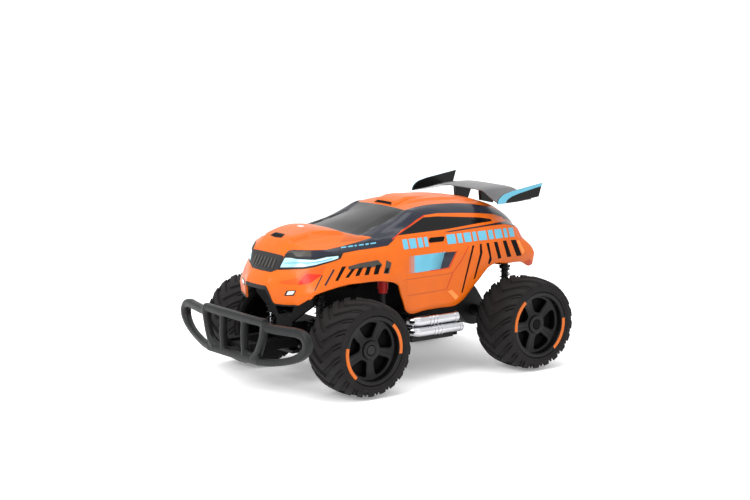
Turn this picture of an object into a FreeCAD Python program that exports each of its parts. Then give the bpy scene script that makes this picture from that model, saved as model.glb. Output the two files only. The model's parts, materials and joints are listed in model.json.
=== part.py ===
# Radio-controlled monster truck, about one sixteenth scale.
# Millimetres, +X to the truck's nose, +Y to its left, +Z up.
# The geometry below is laid out about a point on the ground midway between the axles;
# every sub-part's Placement then moves it by origin_shift, so that the origin of the
# finished model is on the ground in the middle of its overall length.
import FreeCAD, Part
import math
import os
from FreeCAD import Vector as V, Placement, Rotation

doc = FreeCAD.newDocument("truck")

# ----------------------------------------------------------------- dimensions
sheet = doc.addObject("Spreadsheet::Sheet", "dims")
CELLS = [
    ("origin_shift", -20), ("wheelbase", 200), ("axle_z", 45), ("tyre_r", 45), ("tyre_in", 61), ("tyre_width", 50),
    ("bead_r", 32.4), ("seat_r", 30), ("rim_wall", 2), ("hub_r", 8), ("stub_r", 2.5), ("fit_gap", 0.05),
    ("tub_back", -55), ("tub_front", 60), ("tub_half", 38), ("floor_z", 30), ("tub_top", 60), ("wall", 2.5),
    ("arm_in", 19), ("arm_out", 47), ("arm_low_z", 37), ("arm_up_z", 55), ("kingpin_y", 54.5), ("kingpin_r", 1.75),
    ("pin_r", 1.5), ("steer_arm", 15), ("swing_x", -60), ("swing_z", 45), ("rear_shock_x", -113), ("rear_shock_y", 41),
    ("front_shock_x", 112), ("front_shock_y", 40), ("shock_r", 3.4), ("rod_r", 1.5), ("spring_r", 4.7), ("wire_r", 0.65),
    ("gear_m", 0.6), ("axle_teeth", 40), ("idler_small", 12), ("idler_big", 36), ("pinion_teeth", 10), ("face_w", 4.6),
    ("shell_t", 2), ("bumper_t", 9), ("pipe_r", 4.7), ("pipe_y", 70.5), ("wing_t", 2), ("post_x", 46), ("post_y", 50),
]
for i, (alias, value) in enumerate(CELLS, 1):
    sheet.set("A%d" % i, alias)
    sheet.set("B%d" % i, str(value))
    sheet.setAlias("B%d" % i, alias)
doc.recompute()
D = {alias: float(sheet.get(alias)) for alias, _ in CELLS}
FX, RX = D["wheelbase"] / 2, -D["wheelbase"] / 2
FXE, RXE = "dims.wheelbase/2", "-dims.wheelbase/2"
PARTS = []
SHIFT = "dims.origin_shift"


# -------------------------------------------------------------------- helpers
def ex(o, prop, value):
    """Binds a property to an expression, or sets a plain number."""
    if isinstance(value, str):
        o.setExpression(prop, value)
    else:
        cur = o
        names = prop.split(".")
        if names[0] == "Placement":
            o.setExpression(prop, repr(float(value)))
        else:
            setattr(cur, names[0], value)


def s(v):
    return v if isinstance(v, str) else repr(float(v))


_n = [0]


def uid(base):
    _n[0] += 1
    return "%s_%d" % (base, _n[0])


def box(x0, x1, y0, y1, z0, z1):
    o = doc.addObject("Part::Box", uid("box"))
    o.setExpression("Length", "(%s)-(%s)" % (s(x1), s(x0)))
    o.setExpression("Width", "(%s)-(%s)" % (s(y1), s(y0)))
    o.setExpression("Height", "(%s)-(%s)" % (s(z1), s(z0)))
    o.setExpression("Placement.Base.x", s(x0))
    o.setExpression("Placement.Base.y", s(y0))
    o.setExpression("Placement.Base.z", s(z0))
    return o


def cyl(axis, r, a0, a1, u, v):
    """A cylinder along axis x, y or z from a0 to a1; u, v are its other two coordinates in x, y, z order."""
    o = doc.addObject("Part::Cylinder", uid("cyl"))
    o.setExpression("Radius", s(r))
    o.setExpression("Height", "(%s)-(%s)" % (s(a1), s(a0)))
    if axis == "x":
        o.Placement = Placement(V(), Rotation(V(0, 0, 1), V(1, 0, 0)))
        pos = (a0, u, v)
    elif axis == "y":
        o.Placement = Placement(V(), Rotation(V(0, 0, 1), V(0, 1, 0)))
        pos = (u, a0, v)
    else:
        pos = (u, v, a0)
    for k, p in zip("xyz", pos):
        o.setExpression("Placement.Base." + k, s(p))
    return o


def fuse(*objs):
    if len(objs) == 1:
        return objs[0]
    o = doc.addObject("Part::MultiFuse", uid("fuse"))
    o.Shapes = list(objs)
    o.Refine = True
    return o


def cut(base, *tools):
    for t in tools:
        o = doc.addObject("Part::Cut", uid("cut"))
        o.Base, o.Tool = base, t
        o.Refine = True
        base = o
    return base


def common(a, b):
    o = doc.addObject("Part::MultiCommon", uid("common"))
    o.Shapes = [a, b]
    return o


def group(*objs):
    o = doc.addObject("Part::Compound", uid("group"))
    o.Links = list(objs)
    return o


def mirrored(o):
    m = doc.addObject("Part::Mirroring", uid("mirror"))
    m.Source = o
    m.Base = V(0, 0, 0)
    m.Normal = V(0, 1, 0)
    return m


def prism(plane, pts, a0, a1):
    """Extrusion of a polygon. plane xz runs along Y, yz along X and xy along Z."""
    at = {"xz": lambda p: V(p[0], a0, p[1]), "yz": lambda p: V(a0, p[0], p[1]), "xy": lambda p: V(p[0], p[1], a0)}[plane]
    way = {"xz": V(0, 1, 0), "yz": V(1, 0, 0), "xy": V(0, 0, 1)}[plane]
    w = doc.addObject("Part::Feature", uid("outline"))
    w.Shape = Part.makePolygon([at(p) for p in pts] + [at(pts[0])])
    e = doc.addObject("Part::Extrusion", uid("prism"))
    e.Base = w
    e.DirMode = "Custom"
    e.Dir = way
    e.LengthFwd = a1 - a0
    e.Solid = True
    return e


def final(o, label, shift=True):
    """Names a sub-part and gives it the placement of the finished model."""
    o.Label = label
    if shift:
        old = {p: e for p, e in o.ExpressionEngine}
        x = [e for p, e in old.items() if p.strip(".") == "Placement.Base.x"]
        o.setExpression("Placement.Base.x", ("(%s)+%s" % (x[0], SHIFT)) if x else SHIFT)
    PARTS.append(o)
    return o


def both(left, name):
    """A left-hand sub-part and its right-hand mirror image."""
    final(left, name + "_left")
    final(mirrored(left), name + "_right", shift=False)


def sketch_on(body, role, name, offset=0.0):
    sk = body.newObject("Sketcher::SketchObject", name)
    plane = [f for f in body.Origin.OriginFeatures if f.Role == role][0]
    sk.AttachmentSupport = (plane, "")
    sk.MapMode = "FlatFace"
    if offset:
        sk.AttachmentOffset = Placement(V(0, 0, offset), Rotation())
    return sk


def poly(sk, pts):
    import Sketcher
    n = len(pts)
    first = None
    for i in range(n):
        a, b = pts[i], pts[(i + 1) % n]
        k = sk.addGeometry(Part.LineSegment(V(a[0], a[1], 0), V(b[0], b[1], 0)), False)
        first = k if first is None else first
    for i in range(n):
        sk.addConstraint(Sketcher.Constraint("Coincident", first + i, 2, first + (i + 1) % n, 1))
    return first


# ---------------------------------------------------------------------- tyres
def tyre(label, xe, side):
    """Hollow rubber tyre, revolved about the axle: beads, sidewalls and a crowned tread."""
    r, w, b = D["tyre_r"], D["tyre_width"], D["seat_r"]
    prof = [(b + 0.05, 1.5), (b + 2.2, 0.6), (37.0, 0.0), (41.5, 1.8), (43.6, 5.0), (r, 12.0), (r, w - 12.0), (43.6, w - 5.0),
            (41.5, w - 1.8), (37.0, w), (b + 2.4, w - 1.6), (b + 2.4, w - 3.5), (b + 0.05, w - 3.5), (b + 0.05, w - 7.0), (35.0, w - 5.0), (39.6, w - 6.0),
            (41.8, w - 13.0), (41.8, 13.0), (39.6, 6.0), (35.0, 5.0), (b + 0.05, 6.5)]
    body = doc.addObject("PartDesign::Body", uid("tyre_body"))
    sk = sketch_on(body, "XY_Plane", uid("tyre_sketch"))
    poly(sk, [(p[0], D["tyre_in"] + p[1]) if side > 0 else (p[0], -D["tyre_in"] - p[1]) for p in prof])
    rev = body.newObject("PartDesign::Revolution", uid("tyre_rev"))
    rev.Profile = sk
    rev.ReferenceAxis = (sk, ["V_Axis"])
    rev.Angle = 360
    body.Tip = rev
    body.setExpression("Placement.Base.x", xe)
    body.setExpression("Placement.Base.z", "dims.axle_z")
    return final(body, label)


def rim(label, xe, side, bore):
    """Deep-dish five-spoke rim: a barrel with flanges, a spoke disc and a hub, with five windows cut as a polar pattern."""
    y0 = D["tyre_in"]
    b, t = D["seat_r"], D["rim_wall"]
    hub_in, hub_out = 24.0, 39.5
    prof = [(bore, hub_in), (5.5, hub_in), (5.5, 33.0), (b - t, 32.0), (b - t, 1.0), (b + 2.0, 0.0), (b + 2.0, 0.55), (b - 0.02, 1.4), (b - 0.02, 46.56),
            (D["bead_r"], 46.56), (D["bead_r"], 48.3), (b - t + 0.5, 48.3), (b - t - 0.6, 45.5), (b - t - 0.6, 37.0), (9.5, 36.0), (8.5, hub_out), (bore, hub_out)]
    body = doc.addObject("PartDesign::Body", uid("rim_body"))
    sk = sketch_on(body, "XY_Plane", uid("rim_sketch"))
    poly(sk, [(p[0], (y0 + p[1]) * side) for p in prof])
    rev = body.newObject("PartDesign::Revolution", uid("rim_rev"))
    rev.Profile = sk
    rev.ReferenceAxis = (sk, ["V_Axis"])
    rev.Angle = 360
    body.Tip = rev
    doc.recompute()
    win = sketch_on(body, "XZ_Plane", uid("rim_window"))
    pts = []
    for ang, rad in ((-22, 12.5), (-24, 25.0), (-8, 26.3), (8, 26.3), (24, 25.0), (22, 12.5)):
        a = math.radians(90 + ang)
        pts.append((rad * math.cos(a), rad * math.sin(a)))
    poly(win, pts)
    pk = body.newObject("PartDesign::Pocket", uid("rim_pocket"))
    pk.Profile = win
    pk.Type = "Length"
    pk.Length = 130
    pk.Midplane = False
    pk.Reversed = side < 0
    body.Tip = pk
    doc.recompute()
    if pk.Shape.Volume > rev.Shape.Volume - 100:
        pk.Reversed = not pk.Reversed
        doc.recompute()
    pol = body.newObject("PartDesign::PolarPattern", uid("rim_polar"))
    pol.Originals = [pk]
    pol.Axis = (sk, ["V_Axis"])
    pol.Angle = 360
    pol.Occurrences = 5
    body.Tip = pol
    body.setExpression("Placement.Base.x", xe)
    body.setExpression("Placement.Base.z", "dims.axle_z")
    return final(body, label)


WHEELS = [("front_left", FXE, 1), ("front_right", FXE, -1), ("rear_left", RXE, 1), ("rear_right", RXE, -1)]
for name, xe, side in WHEELS:
    tyre("tyre_" + name, xe, side)
    rim("rim_" + name, xe, side, D["stub_r"] + (D["fit_gap"] if "front" in name else 0.02))


def wheel_nut(xe, side):
    """A cap nut on the end of the axle, with a slotted round nose."""
    a, b = ("dims.tyre_in+39.7", "dims.tyre_in+43.2") if side > 0 else ("-dims.tyre_in-43.2", "-dims.tyre_in-39.7")
    lo, hi = ("dims.tyre_in+39.7", "dims.tyre_in+41.2") if side > 0 else ("-dims.tyre_in-41.2", "-dims.tyre_in-39.7")
    nose = cyl("y", 4.2, a, b, xe, "dims.axle_z")
    flange = cyl("y", 5.4, lo, hi, xe, "dims.axle_z")
    hole = cyl("y", "dims.stub_r+0.02", a, ("dims.tyre_in+41.6" if side > 0 else "-dims.tyre_in-39.0"), xe, "dims.axle_z") if side > 0 else cyl("y", "dims.stub_r+0.02", "-dims.tyre_in-41.6", "-dims.tyre_in-39.0", xe, "dims.axle_z")
    return cut(fuse(nose, flange), hole)


final(wheel_nut(FXE, 1), "wheel_nut_front_left")
final(wheel_nut(FXE, -1), "wheel_nut_front_right")
final(group(wheel_nut(RXE, 1), wheel_nut(RXE, -1)), "wheel_nuts_rear")

# --------------------------------------------------------- front suspension
# Lower arm: a wide plate with a barrel at each end and a window for the shock's lower eye.
PR = "dims.pin_r"
AI, AO, ZL, ZU = "dims.arm_in", "dims.arm_out", "dims.arm_low_z", "dims.arm_up_z"
low = fuse(box(88, 116, "dims.arm_in+1.5", "dims.arm_out-6.2", "dims.arm_low_z-2.3", "dims.arm_low_z+2.3"),
           box(88, 93.4, "dims.arm_in+1.5", AO, "dims.arm_low_z-2.3", "dims.arm_low_z+2.3"),
           box(106.6, 116, "dims.arm_in+1.5", AO, "dims.arm_low_z-2.3", "dims.arm_low_z+2.3"),
           cyl("x", 3.4, 88, 116, AI, ZL), cyl("x", 3.4, 88, 93.4, AO, ZL), cyl("x", 3.4, 106.6, 110.4, AO, ZL))
low = cut(low, cyl("x", "dims.pin_r+dims.fit_gap", 80, 125, AI, ZL), cyl("x", "dims.pin_r+dims.fit_gap", 80, 125, AO, ZL),
          box("dims.front_shock_x-2.9", "dims.front_shock_x+2.9", "dims.front_shock_y-4.2", "dims.front_shock_y+9", "dims.arm_low_z-4", "dims.arm_low_z+4"))
low = fuse(low, cyl("x", 1.25, "dims.front_shock_x-3.4", "dims.front_shock_x+3.4", "dims.front_shock_y", ZL))
both(low, "lower_arm")

# Upper arm: a narrow link above the axle line, forked round the hub carrier.
up = fuse(box(94.5, 105.5, "dims.arm_in+1.5", "dims.arm_out-7", "dims.arm_up_z-1.8", "dims.arm_up_z+1.8"),
          box(90.2, 105.5, "dims.arm_out-10.5", "dims.arm_out-6.2", "dims.arm_up_z-1.8", "dims.arm_up_z+1.8"),
          box(90.2, 93.4, "dims.arm_out-9", AO, "dims.arm_up_z-1.8", "dims.arm_up_z+1.8"),
          box(102.6, 105.5, "dims.arm_out-9", AO, "dims.arm_up_z-1.8", "dims.arm_up_z+1.8"),
          cyl("x", 2.9, 94.5, 105.5, AI, ZU), cyl("x", 2.9, 90.2, 93.4, AO, ZU), cyl("x", 2.9, 102.6, 105.5, AO, ZU))
up = cut(up, cyl("x", "dims.pin_r+dims.fit_gap", 80, 125, AI, ZU), cyl("x", "dims.pin_r+dims.fit_gap", 80, 125, AO, ZU))
both(up, "upper_arm")

# Fixed pins: the arms' inner pivots and the pivot of the rear axle's swing housing.
final(group(*[cyl("x", PR, 83, 121, ("%s" if k > 0 else "-%s") % AI, ZL) for k in (1, -1)],
            *[cyl("x", PR, 90.8, 110, ("%s" if k > 0 else "-%s") % AI, ZU) for k in (1, -1)],
            cyl("y", 2.0, -22.6, 22.6, "dims.swing_x", "dims.swing_z")), "suspension_pins")

# Hub carrier: a web between the arms with an ear above and below the knuckle.
hub = fuse(box(94, 106, "dims.arm_out-3", "dims.arm_out+3", "dims.arm_low_z-3", 50),
           box(94, 102, "dims.arm_out-3", "dims.arm_out+3", 49, "dims.arm_up_z+3"),
           box(95, 102, AO, "dims.kingpin_y+3.5", "dims.arm_up_z-2.6", "dims.arm_up_z+2.6"),
           box(95, 105, AO, "dims.kingpin_y+3.5", "dims.arm_low_z-2.6", "dims.arm_low_z+1.0"))
hub = cut(hub, cyl("x", "dims.pin_r+0.02", 90, 110, AO, ZL), cyl("x", "dims.pin_r+0.02", 90, 110, AO, ZU),
          cyl("z", "dims.kingpin_r+0.02", 30, 62, FXE, "dims.kingpin_y"))
both(hub, "hub_carrier")
kp = group(cyl("z", "dims.kingpin_r", "dims.arm_low_z-2.6", "dims.arm_up_z+2.6", FXE, "dims.kingpin_y"),
           cyl("x", PR, 88, 110.4, AO, ZL), cyl("x", PR, 90.2, 105.5, AO, ZU))
both(kp, "hub_pins")

# Knuckle: a barrel on the kingpin, a block that carries the stub axle, and the steering arm behind.
kn = fuse(cyl("z", 4.0, "dims.arm_low_z+1.3", "dims.arm_up_z-2.9", FXE, "dims.kingpin_y"),
          box(95.5, 104.5, "dims.kingpin_y", "dims.tyre_in-0.8", 40, 50),
          cyl("y", "dims.stub_r", "dims.kingpin_y+2", "dims.tyre_in+41.4", FXE, "dims.axle_z"),
          cyl("y", 5.0, "dims.tyre_in-0.8", "dims.tyre_in+23.7", FXE, "dims.axle_z"),
          box("dims.wheelbase/2-dims.steer_arm-2.5", FXE, "dims.kingpin_y-2", "dims.kingpin_y+2", 43.6, 47.2),
          cyl("z", 1.25, 45, 51.4, "dims.wheelbase/2-dims.steer_arm", "dims.kingpin_y"))
kn = cut(kn, cyl("z", "dims.kingpin_r+dims.fit_gap", 30, 62, FXE, "dims.kingpin_y"))
both(kn, "knuckle")

# Steering: a servo, its horn, a sliding tie bar and two tie rods parallel to the arms.
TX = FX - D["steer_arm"]
TI = D["kingpin_y"] - (D["arm_out"] - D["arm_in"])
servo = fuse(box(62, 82, -10.5, 10.5, 33.05, 50.2), cyl("z", 1.5, 50.2, 54.4, 73, 0), box(60.2, 85.6, -10.5, 10.5, 43, 44.6))
servo = cut(servo, cyl("z", 1.0, 40, 50, 83.9, 7), cyl("z", 1.0, 40, 50, 83.9, -7))
final(servo, "steering_servo")
horn = fuse(cyl("z", 4, 50.8, 53.4, 73, 0), box(73, 87, -2.6, 2.6, 50.8, 53.0), cyl("z", 2.6, 50.8, 53.0, 87, 0), cyl("z", 1.25, 47.4, 52, 87, 0))
final(cut(horn, cyl("z", 1.55, 45, 60, 73, 0)), "servo_horn")
bar = fuse(box(83.0, 91.5, -6.5, 6.5, 47.2, 50.0), box(87.3, 90.6, -TI - 2.6, TI + 2.6, 47.2, 50.0),
           box(87.3, 89.8, TI - 2.9, TI + 2.9, 46.4, 52.2), box(87.3, 89.8, -TI - 2.9, -TI + 2.9, 46.4, 52.2),
           cyl("x", 1.25, TX - 1.9, 88, TI, 49.3), cyl("x", 1.25, TX - 1.9, 88, -TI, 49.3))
bar = cut(bar, box(84.7, 88.6, -1.42, 1.42, 40, 60))
final(bar, "tie_bar")
rod = fuse(cyl("x", 2.7, TX - 1.5, TX + 1.5, TI, 49.3), box(TX - 1.2, TX + 1.2, TI, D["kingpin_y"] - 1.5, 48.3, 50.3),
           cyl("z", 3.2, 48.0, 50.6, TX + 0.2, "dims.kingpin_y"))
rod = cut(rod, cyl("x", 1.3, TX - 4, TX + 4, TI, 49.3), box(TX, TX + 0.8, D["kingpin_y"] - 1.75, D["kingpin_y"] + 1.75, 40, 55),
          cyl("z", 1.75, 40, 55, TX, "dims.kingpin_y"), cyl("z", 1.75, 40, 55, TX + 0.8, "dims.kingpin_y"))
both(rod, "tie_rod")


# ------------------------------------------------------------------- shocks
def coil(x, y, z0, z1, turns):
    """Compression spring: one wire swept along a helix, inset by the wire's radius at both ends."""
    w = D["wire_r"]
    helix = Part.makeHelix((z1 - z0 - 2 * w) / turns, z1 - z0 - 2 * w, D["spring_r"])
    circle = Part.Wire([Part.makeCircle(w, V(D["spring_r"], 0, 0), V(0, 1, 0))])
    pipe = Part.Wire(helix.Edges).makePipeShell([circle], True, True)
    pipe.translate(V(x, y, z0 + w))
    f = doc.addObject("Part::Feature", uid("spring"))
    f.Shape = pipe
    return group(f)


fs = D["front_shock_x"], D["front_shock_y"]
FSX, FSY = "dims.front_shock_x", "dims.front_shock_y"


def cylinder_unit(x, y, z0, z1, axis):
    """Shock body: a tube open at its foot with a spring collar and an eye on top."""
    yn = y if isinstance(y, str) else s(y)
    body = fuse(cyl("z", "dims.shock_r", z0, z1, x, yn), cyl("z", "dims.spring_r+0.9", z1 - 3.5, z1 - 1.8, x, yn),
                cyl(axis, 3.0, ("(%s)-2" % (x if axis == "x" else yn)), ("(%s)+2" % (x if axis == "x" else yn)), (yn if axis == "x" else x), z1 + 1.8))
    return cut(body, cyl("z", "dims.rod_r+0.15", z0 - 1, z1 - 4, x, yn), cyl(axis, 1.27, ("(%s)-5" % (x if axis == "x" else yn)), ("(%s)+5" % (x if axis == "x" else yn)), (yn if axis == "x" else x), z1 + 1.8))


def rod_unit(x, y, z_eye, z_seat, z_top, axis, gap):
    """Shock rod: an eye with clearance for its pin, a spring seat and the rod that slides in the body."""
    c = x if axis == "x" else y
    o = y if axis == "x" else x
    r = fuse(cyl(axis, 3.0, "(%s)-2.1" % c, "(%s)+2.1" % c, o, z_eye), cyl("z", "dims.rod_r", z_eye, z_top, x, y),
             cyl("z", "dims.spring_r+0.9", z_seat - 1.6, z_seat, x, y), cyl("z", 2.4, s(z_eye) + "+1.2", z_seat, x, y))
    return cut(r, cyl(axis, 1.25 + gap, "(%s)-5" % c, "(%s)+5" % c, o, z_eye))


fr = rod_unit(FSX, FSY, 37, 46, 72, "x", 0.35)
both(fr, "front_shock_rod")
sp = coil(fs[0], fs[1], 46.05, 80.45, 7)
both(sp, "front_spring")
RSX, RSY = "dims.rear_shock_x", "dims.rear_shock_y"
final(group(cylinder_unit(FSX, FSY, 60, 84, "x"), cylinder_unit(FSX, "-" + FSY, 60, 84, "x"),
            cylinder_unit(RSX, RSY, 72, 95, "y"), cylinder_unit(RSX, "-" + RSY, 72, 95, "y")), "shock_bodies")
rl = rod_unit(RSX, RSY, 45, 56, 83, "y", 0.45)
rr = rod_unit(RSX, "-" + RSY, 45, 56, 83, "y", 0.45)
final(group(rl, rr), "rear_shock_rods")
sl = coil(D["rear_shock_x"], D["rear_shock_y"], 56.05, 91.45, 7)
sr = coil(D["rear_shock_x"], -D["rear_shock_y"], 56.05, 91.45, 7)
final(group(sl, sr), "rear_springs")

# -------------------------------------------------------------------- chassis
tub = fuse(box("dims.tub_back", "dims.tub_front", "-dims.tub_half", "dims.tub_half", "dims.floor_z", "dims.tub_top"),
           box("dims.tub_front-3", 126, -16, 16, "dims.floor_z", "dims.floor_z+3"),
           box(82.6, 87.2, -23, 23, "dims.floor_z", 41.2),
           box(-26, 24, "-dims.tub_half-29", "dims.tub_half+29", 36.5, 41),
           box("dims.post_x-6", "dims.post_x+5", "-dims.post_y-4", "dims.post_y+4", 56, 60),
           box("dims.swing_x-4", "dims.tub_back+1", 18.6, 22.6, 40, 54), box("dims.swing_x-4", "dims.tub_back+1", -22.6, -18.6, 40, 54))
tub = cut(tub, box("dims.tub_back+dims.wall", "dims.tub_front-dims.wall", "-dims.tub_half+dims.wall", "dims.tub_half-dims.wall", "dims.floor_z+dims.wall", 80),
          box(-42, 38, -17.5, 17.5, 20, 40), box(46.9, 53.4, 15.8, 20.2, 20, 40),
          cyl("y", 2.02, -30, 30, "dims.swing_x", "dims.swing_z"),
          cyl("x", "dims.pin_r+0.02", 80, 90, AI, ZL), cyl("x", "dims.pin_r+0.02", 80, 90, "-" + AI, ZL),
          *[cyl("z", 1.3, 20, 45, x, y) for x in (98, 116) for y in (-9, 9)],
          *[cyl("z", 2.4, 20, 31.55, x, y) for x in (98, 116) for y in (-9, 9)])
final(tub, "chassis_tub")

# The deck carries a raised housing over the receiver and the servo.
deck = fuse(box("dims.tub_back", "dims.tub_front", "-dims.tub_half", "dims.tub_half", "dims.tub_top+0.05", "dims.tub_top+2.3"),
            prism("xz", [(-16, 62), (-9, 91), (53, 91), (60, 86), (60, 62)], -26, 26))
deck = cut(deck, prism("xz", [(-13.4, 50), (-13.4, 62), (-6.9, 88.7), (52.2, 88.7), (57.6, 84.8), (57.6, 50)], -23.7, 23.7),
           *[cyl("z", 1.3, 55, 70, x, y) for x in (-50, 55) for y in (-33, 33)])
final(deck, "chassis_deck")

# Front bulkhead: a block on the chassis nose with plates for the arm pins and the shock tower.
bulk = fuse(box(94.2, 118, -13.5, 13.5, 33.1, 52.2), box(90.8, 94, -22.5, 22.5, 51.6, 59.5), box(90.8, 121, -13.5, 13.5, 51.6, 59.5),
            box(106.7, 110, -22.5, 22.5, 51.6, 59.5), box(117.6, 121, -23, 23, 33.1, 41.2), box(117.6, 121, -13.5, 13.5, 33.1, 59.5))
bulk = cut(bulk, *[cyl("x", "dims.pin_r+0.02", 85, 125, k + AI, z) for k in ("", "-") for z in (ZL, ZU)],
           *[cyl("z", 1.25, 30, 45, x, y) for x in (98, 116) for y in (-9, 9)])
final(bulk, "front_bulkhead")
tower = prism("yz", [(-13, 41.4), (13, 41.4), (13, 60), (47, 80), (47, 91), (33, 91), (24, 84), (-24, 84), (-33, 91), (-47, 91), (-47, 80), (-13, 60)], 121.05, 124.2)
tower = fuse(tower, cyl("x", 1.25, "dims.front_shock_x-2.6", 122, FSY, 85.8), cyl("x", 1.25, "dims.front_shock_x-2.6", 122, "-" + FSY, 85.8),
             cyl("x", 3.0, 115.7, 122, FSY, 85.8), cyl("x", 3.0, 115.7, 122, "-" + FSY, 85.8))
final(cut(tower, prism("yz", [(-10, 64), (10, 64), (20, 80), (-20, 80)], 110, 130)), "front_shock_tower")

# Rear frame: a spine over the axle that carries the shocks' top pins and the body.
spine = prism("xz", [(-62, 62.35), (-40, 62.35), (-40, 66), (-52, 80), (-112, 98.5), (-119, 98.5), (-119, 93.5), (-112, 93.5), (-74, 79.5)], -12, 12)
spine = fuse(spine, box(-117.5, -109, -36.4, 36.4, 93.5, 98.5),
             box(-116.2, -109.8, 36, 38.4, 95.2, 100), box(-116.2, -109.8, -38.4, -36, 95.2, 100),
             cyl("y", 1.25, 37, 43.6, RSX, 96.8), cyl("y", 1.25, -43.6, -37, RSX, 96.8))
spine = cut(spine, *[cyl("z", 1.3, 50, 75, -46, y) for y in (-8, 8)])
final(spine, "rear_frame")

# Electronics and power.
final(cut(box(-40, 36, -16.6, 16.6, 33.4, 54), box(-41, -39, -5, 5, 46, 52)), "battery_pack")
pcb = fuse(box(-38, 34, 20.5, 35, 33.2, 34.8), box(-30, -16, 23, 33, 34.8, 39), box(-8, 2, 22, 32, 34.8, 37.5), box(12, 26, 24, 33, 34.8, 42))
final(pcb, "receiver_board")
door = fuse(box(-41.6, 37.6, -17.1, 17.1, "dims.floor_z+0.1", "dims.floor_z+dims.wall-0.1"))
door = cut(door, *[box(x, x + 2, -12, 12, 29, 31) for x in (-30, -24, -18, -12)])
final(door, "battery_door")
switch = fuse(box(47.3, 50.0, 16.1, 19.9, "dims.floor_z+0.4", 34), box(46.4, 50.9, 14.6, 21.4, "dims.floor_z+dims.wall+0.25", 35.2))
final(switch, "power_switch")

# --------------------------------------------------------------- rear axle
AZ, SZ = D["axle_z"], D["swing_z"]
M = D["gear_m"]
ra_, rs_, rb_, rp_ = (M * D[k] / 2 for k in ("axle_teeth", "idler_small", "idler_big", "pinion_teeth"))
A1, A2 = math.radians(60), math.radians(10)
IX, IZ = RX + (ra_ + rs_) * math.cos(A1), AZ + (ra_ + rs_) * math.sin(A1)
PX, PZ = IX + (rb_ + rp_) * math.cos(A2), IZ + (rb_ + rp_) * math.sin(A2)


def gear(teeth, y0, y1, cx, cz, phase, bore):
    """Spur gear about Y: stub involute teeth with a 25 degree pressure angle; phase is a tooth's direction in the XZ plane."""
    r, pa = M * teeth / 2, math.radians(25)
    rb, ra, rf = r * math.cos(pa), r + 0.8 * M, r - 1.15 * M
    inv = lambda a: math.tan(a) - a
    half = math.pi / (2 * teeth) - 0.09 / r
    rs = [max(rb, rf) + (ra - max(rb, rf)) * k / 4 for k in range(5)]
    pts = []
    for i in range(teeth):
        c = phase + 2 * math.pi * i / teeth
        flank = [(q, half + inv(pa) - inv(math.acos(min(1, rb / q)))) for q in rs]
        root = half + inv(pa) + 0.02
        pts.append((rf, c - min(root, math.pi / teeth * 0.98)))
        pts += [(q, c - a) for q, a in flank] + [(q, c + a) for q, a in reversed(flank)]
        pts.append((rf, c + min(root, math.pi / teeth * 0.98)))
    w = Part.makePolygon([V(cx + q * math.cos(a), y0, cz + q * math.sin(a)) for q, a in pts + pts[:1]])
    f = doc.addObject("Part::Feature", uid("gear"))
    solid = Part.Face(w).extrude(V(0, y1 - y0, 0))
    f.Shape = solid
    return cut(f, cyl("y", bore, y0 - 1, y1 + 1, cx, cz)) if bore else f


n1, n2, n3, n4 = (int(D[k]) for k in ("axle_teeth", "idler_small", "idler_big", "pinion_teeth"))
axle_gear = gear(n1, 1.2, 1.2 + D["face_w"], RX, AZ, A1, D["stub_r"] + 0.02)
final(axle_gear, "axle_gear")
idler = fuse(gear(n2, 1.0, 6.2, IX, IZ, A1 + math.pi + math.pi / n2, 0), gear(n3, -5.8, -1.2, IX, IZ, A2, 0), cyl("y", 4.2, -1.3, 1.1, IX, IZ))
final(cut(idler, cyl("y", 1.3, -10, 10, IX, IZ)), "idler_gear")
pinion = fuse(gear(n4, -6.0, -1.0, PX, PZ, A2 + math.pi + math.pi / n4, 0), cyl("y", 1.0, -20, -1.0, PX, PZ))
final(pinion, "motor_pinion")
final(cyl("y", "dims.stub_r", "-dims.tyre_in-41.4", "dims.tyre_in+41.4", RXE, "dims.axle_z"), "rear_axle_shaft")


def outline(grow):
    """Convex outline round the three gears, in x and z."""
    pts = []
    for cx, cz, r in ((RX, AZ, ra_ + 1.0), (IX, IZ, rb_ + 1.0), (PX, PZ, rp_ + 1.6), (-86, SZ - 3, 0.5)):
        pts += [(cx + (r + grow) * math.cos(math.radians(a)), cz + (r + grow) * math.sin(math.radians(a))) for a in range(0, 360, 15)]
    pts = sorted(set((round(a, 3), round(b, 3)) for a, b in pts))
    hull = []
    for seq in (pts, pts[::-1]):
        part = []
        for p in seq:
            while len(part) > 1 and (part[-1][0] - part[-2][0]) * (p[1] - part[-2][1]) - (part[-1][1] - part[-2][1]) * (p[0] - part[-2][0]) <= 0:
                part.pop()
            part.append(p)
        hull += part[:-1]
    return hull


case = fuse(prism("xz", outline(2.0), -9.0, 7.0), cyl("y", 6.0, -56, -8, RX, AZ), box(-90, "dims.swing_x", -8, 7, "dims.swing_z-4", "dims.swing_z+3.4"),
            cyl("y", 4.0, -18.2, 18.2, "dims.swing_x", "dims.swing_z"))
case = cut(case, prism("xz", outline(0.0), -7.0, 8.0), cyl("y", 2.05, -20, 20, "dims.swing_x", "dims.swing_z"),
           cyl("y", 4.0, -60, -6, RX, AZ), cyl("y", 1.4, -12, 0, PX, PZ))
brk = [box("dims.rear_shock_x-3.4", RX - 5.2, y0, y1, 41.8, 48.2) for y0, y1 in ((-38.4, -36.6), (-45.4, -43.6))]
case = fuse(case, *brk, cyl("y", 1.25, -45.4, -36.6, RSX, 45), cyl("y", 1.25, -7.5, 8.9, IX, IZ))
final(case, "gearbox_case")
cover = fuse(prism("xz", outline(2.0), 7.05, 9.0), cyl("y", 6.0, 7.05, 56, RX, AZ),
             *[box("dims.rear_shock_x-3.4", RX - 5.2, y0, y1, 41.8, 48.2) for y0, y1 in ((36.6, 38.4), (43.6, 45.4))], cyl("y", 1.25, 36.6, 45.4, RSX, 45))
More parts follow.
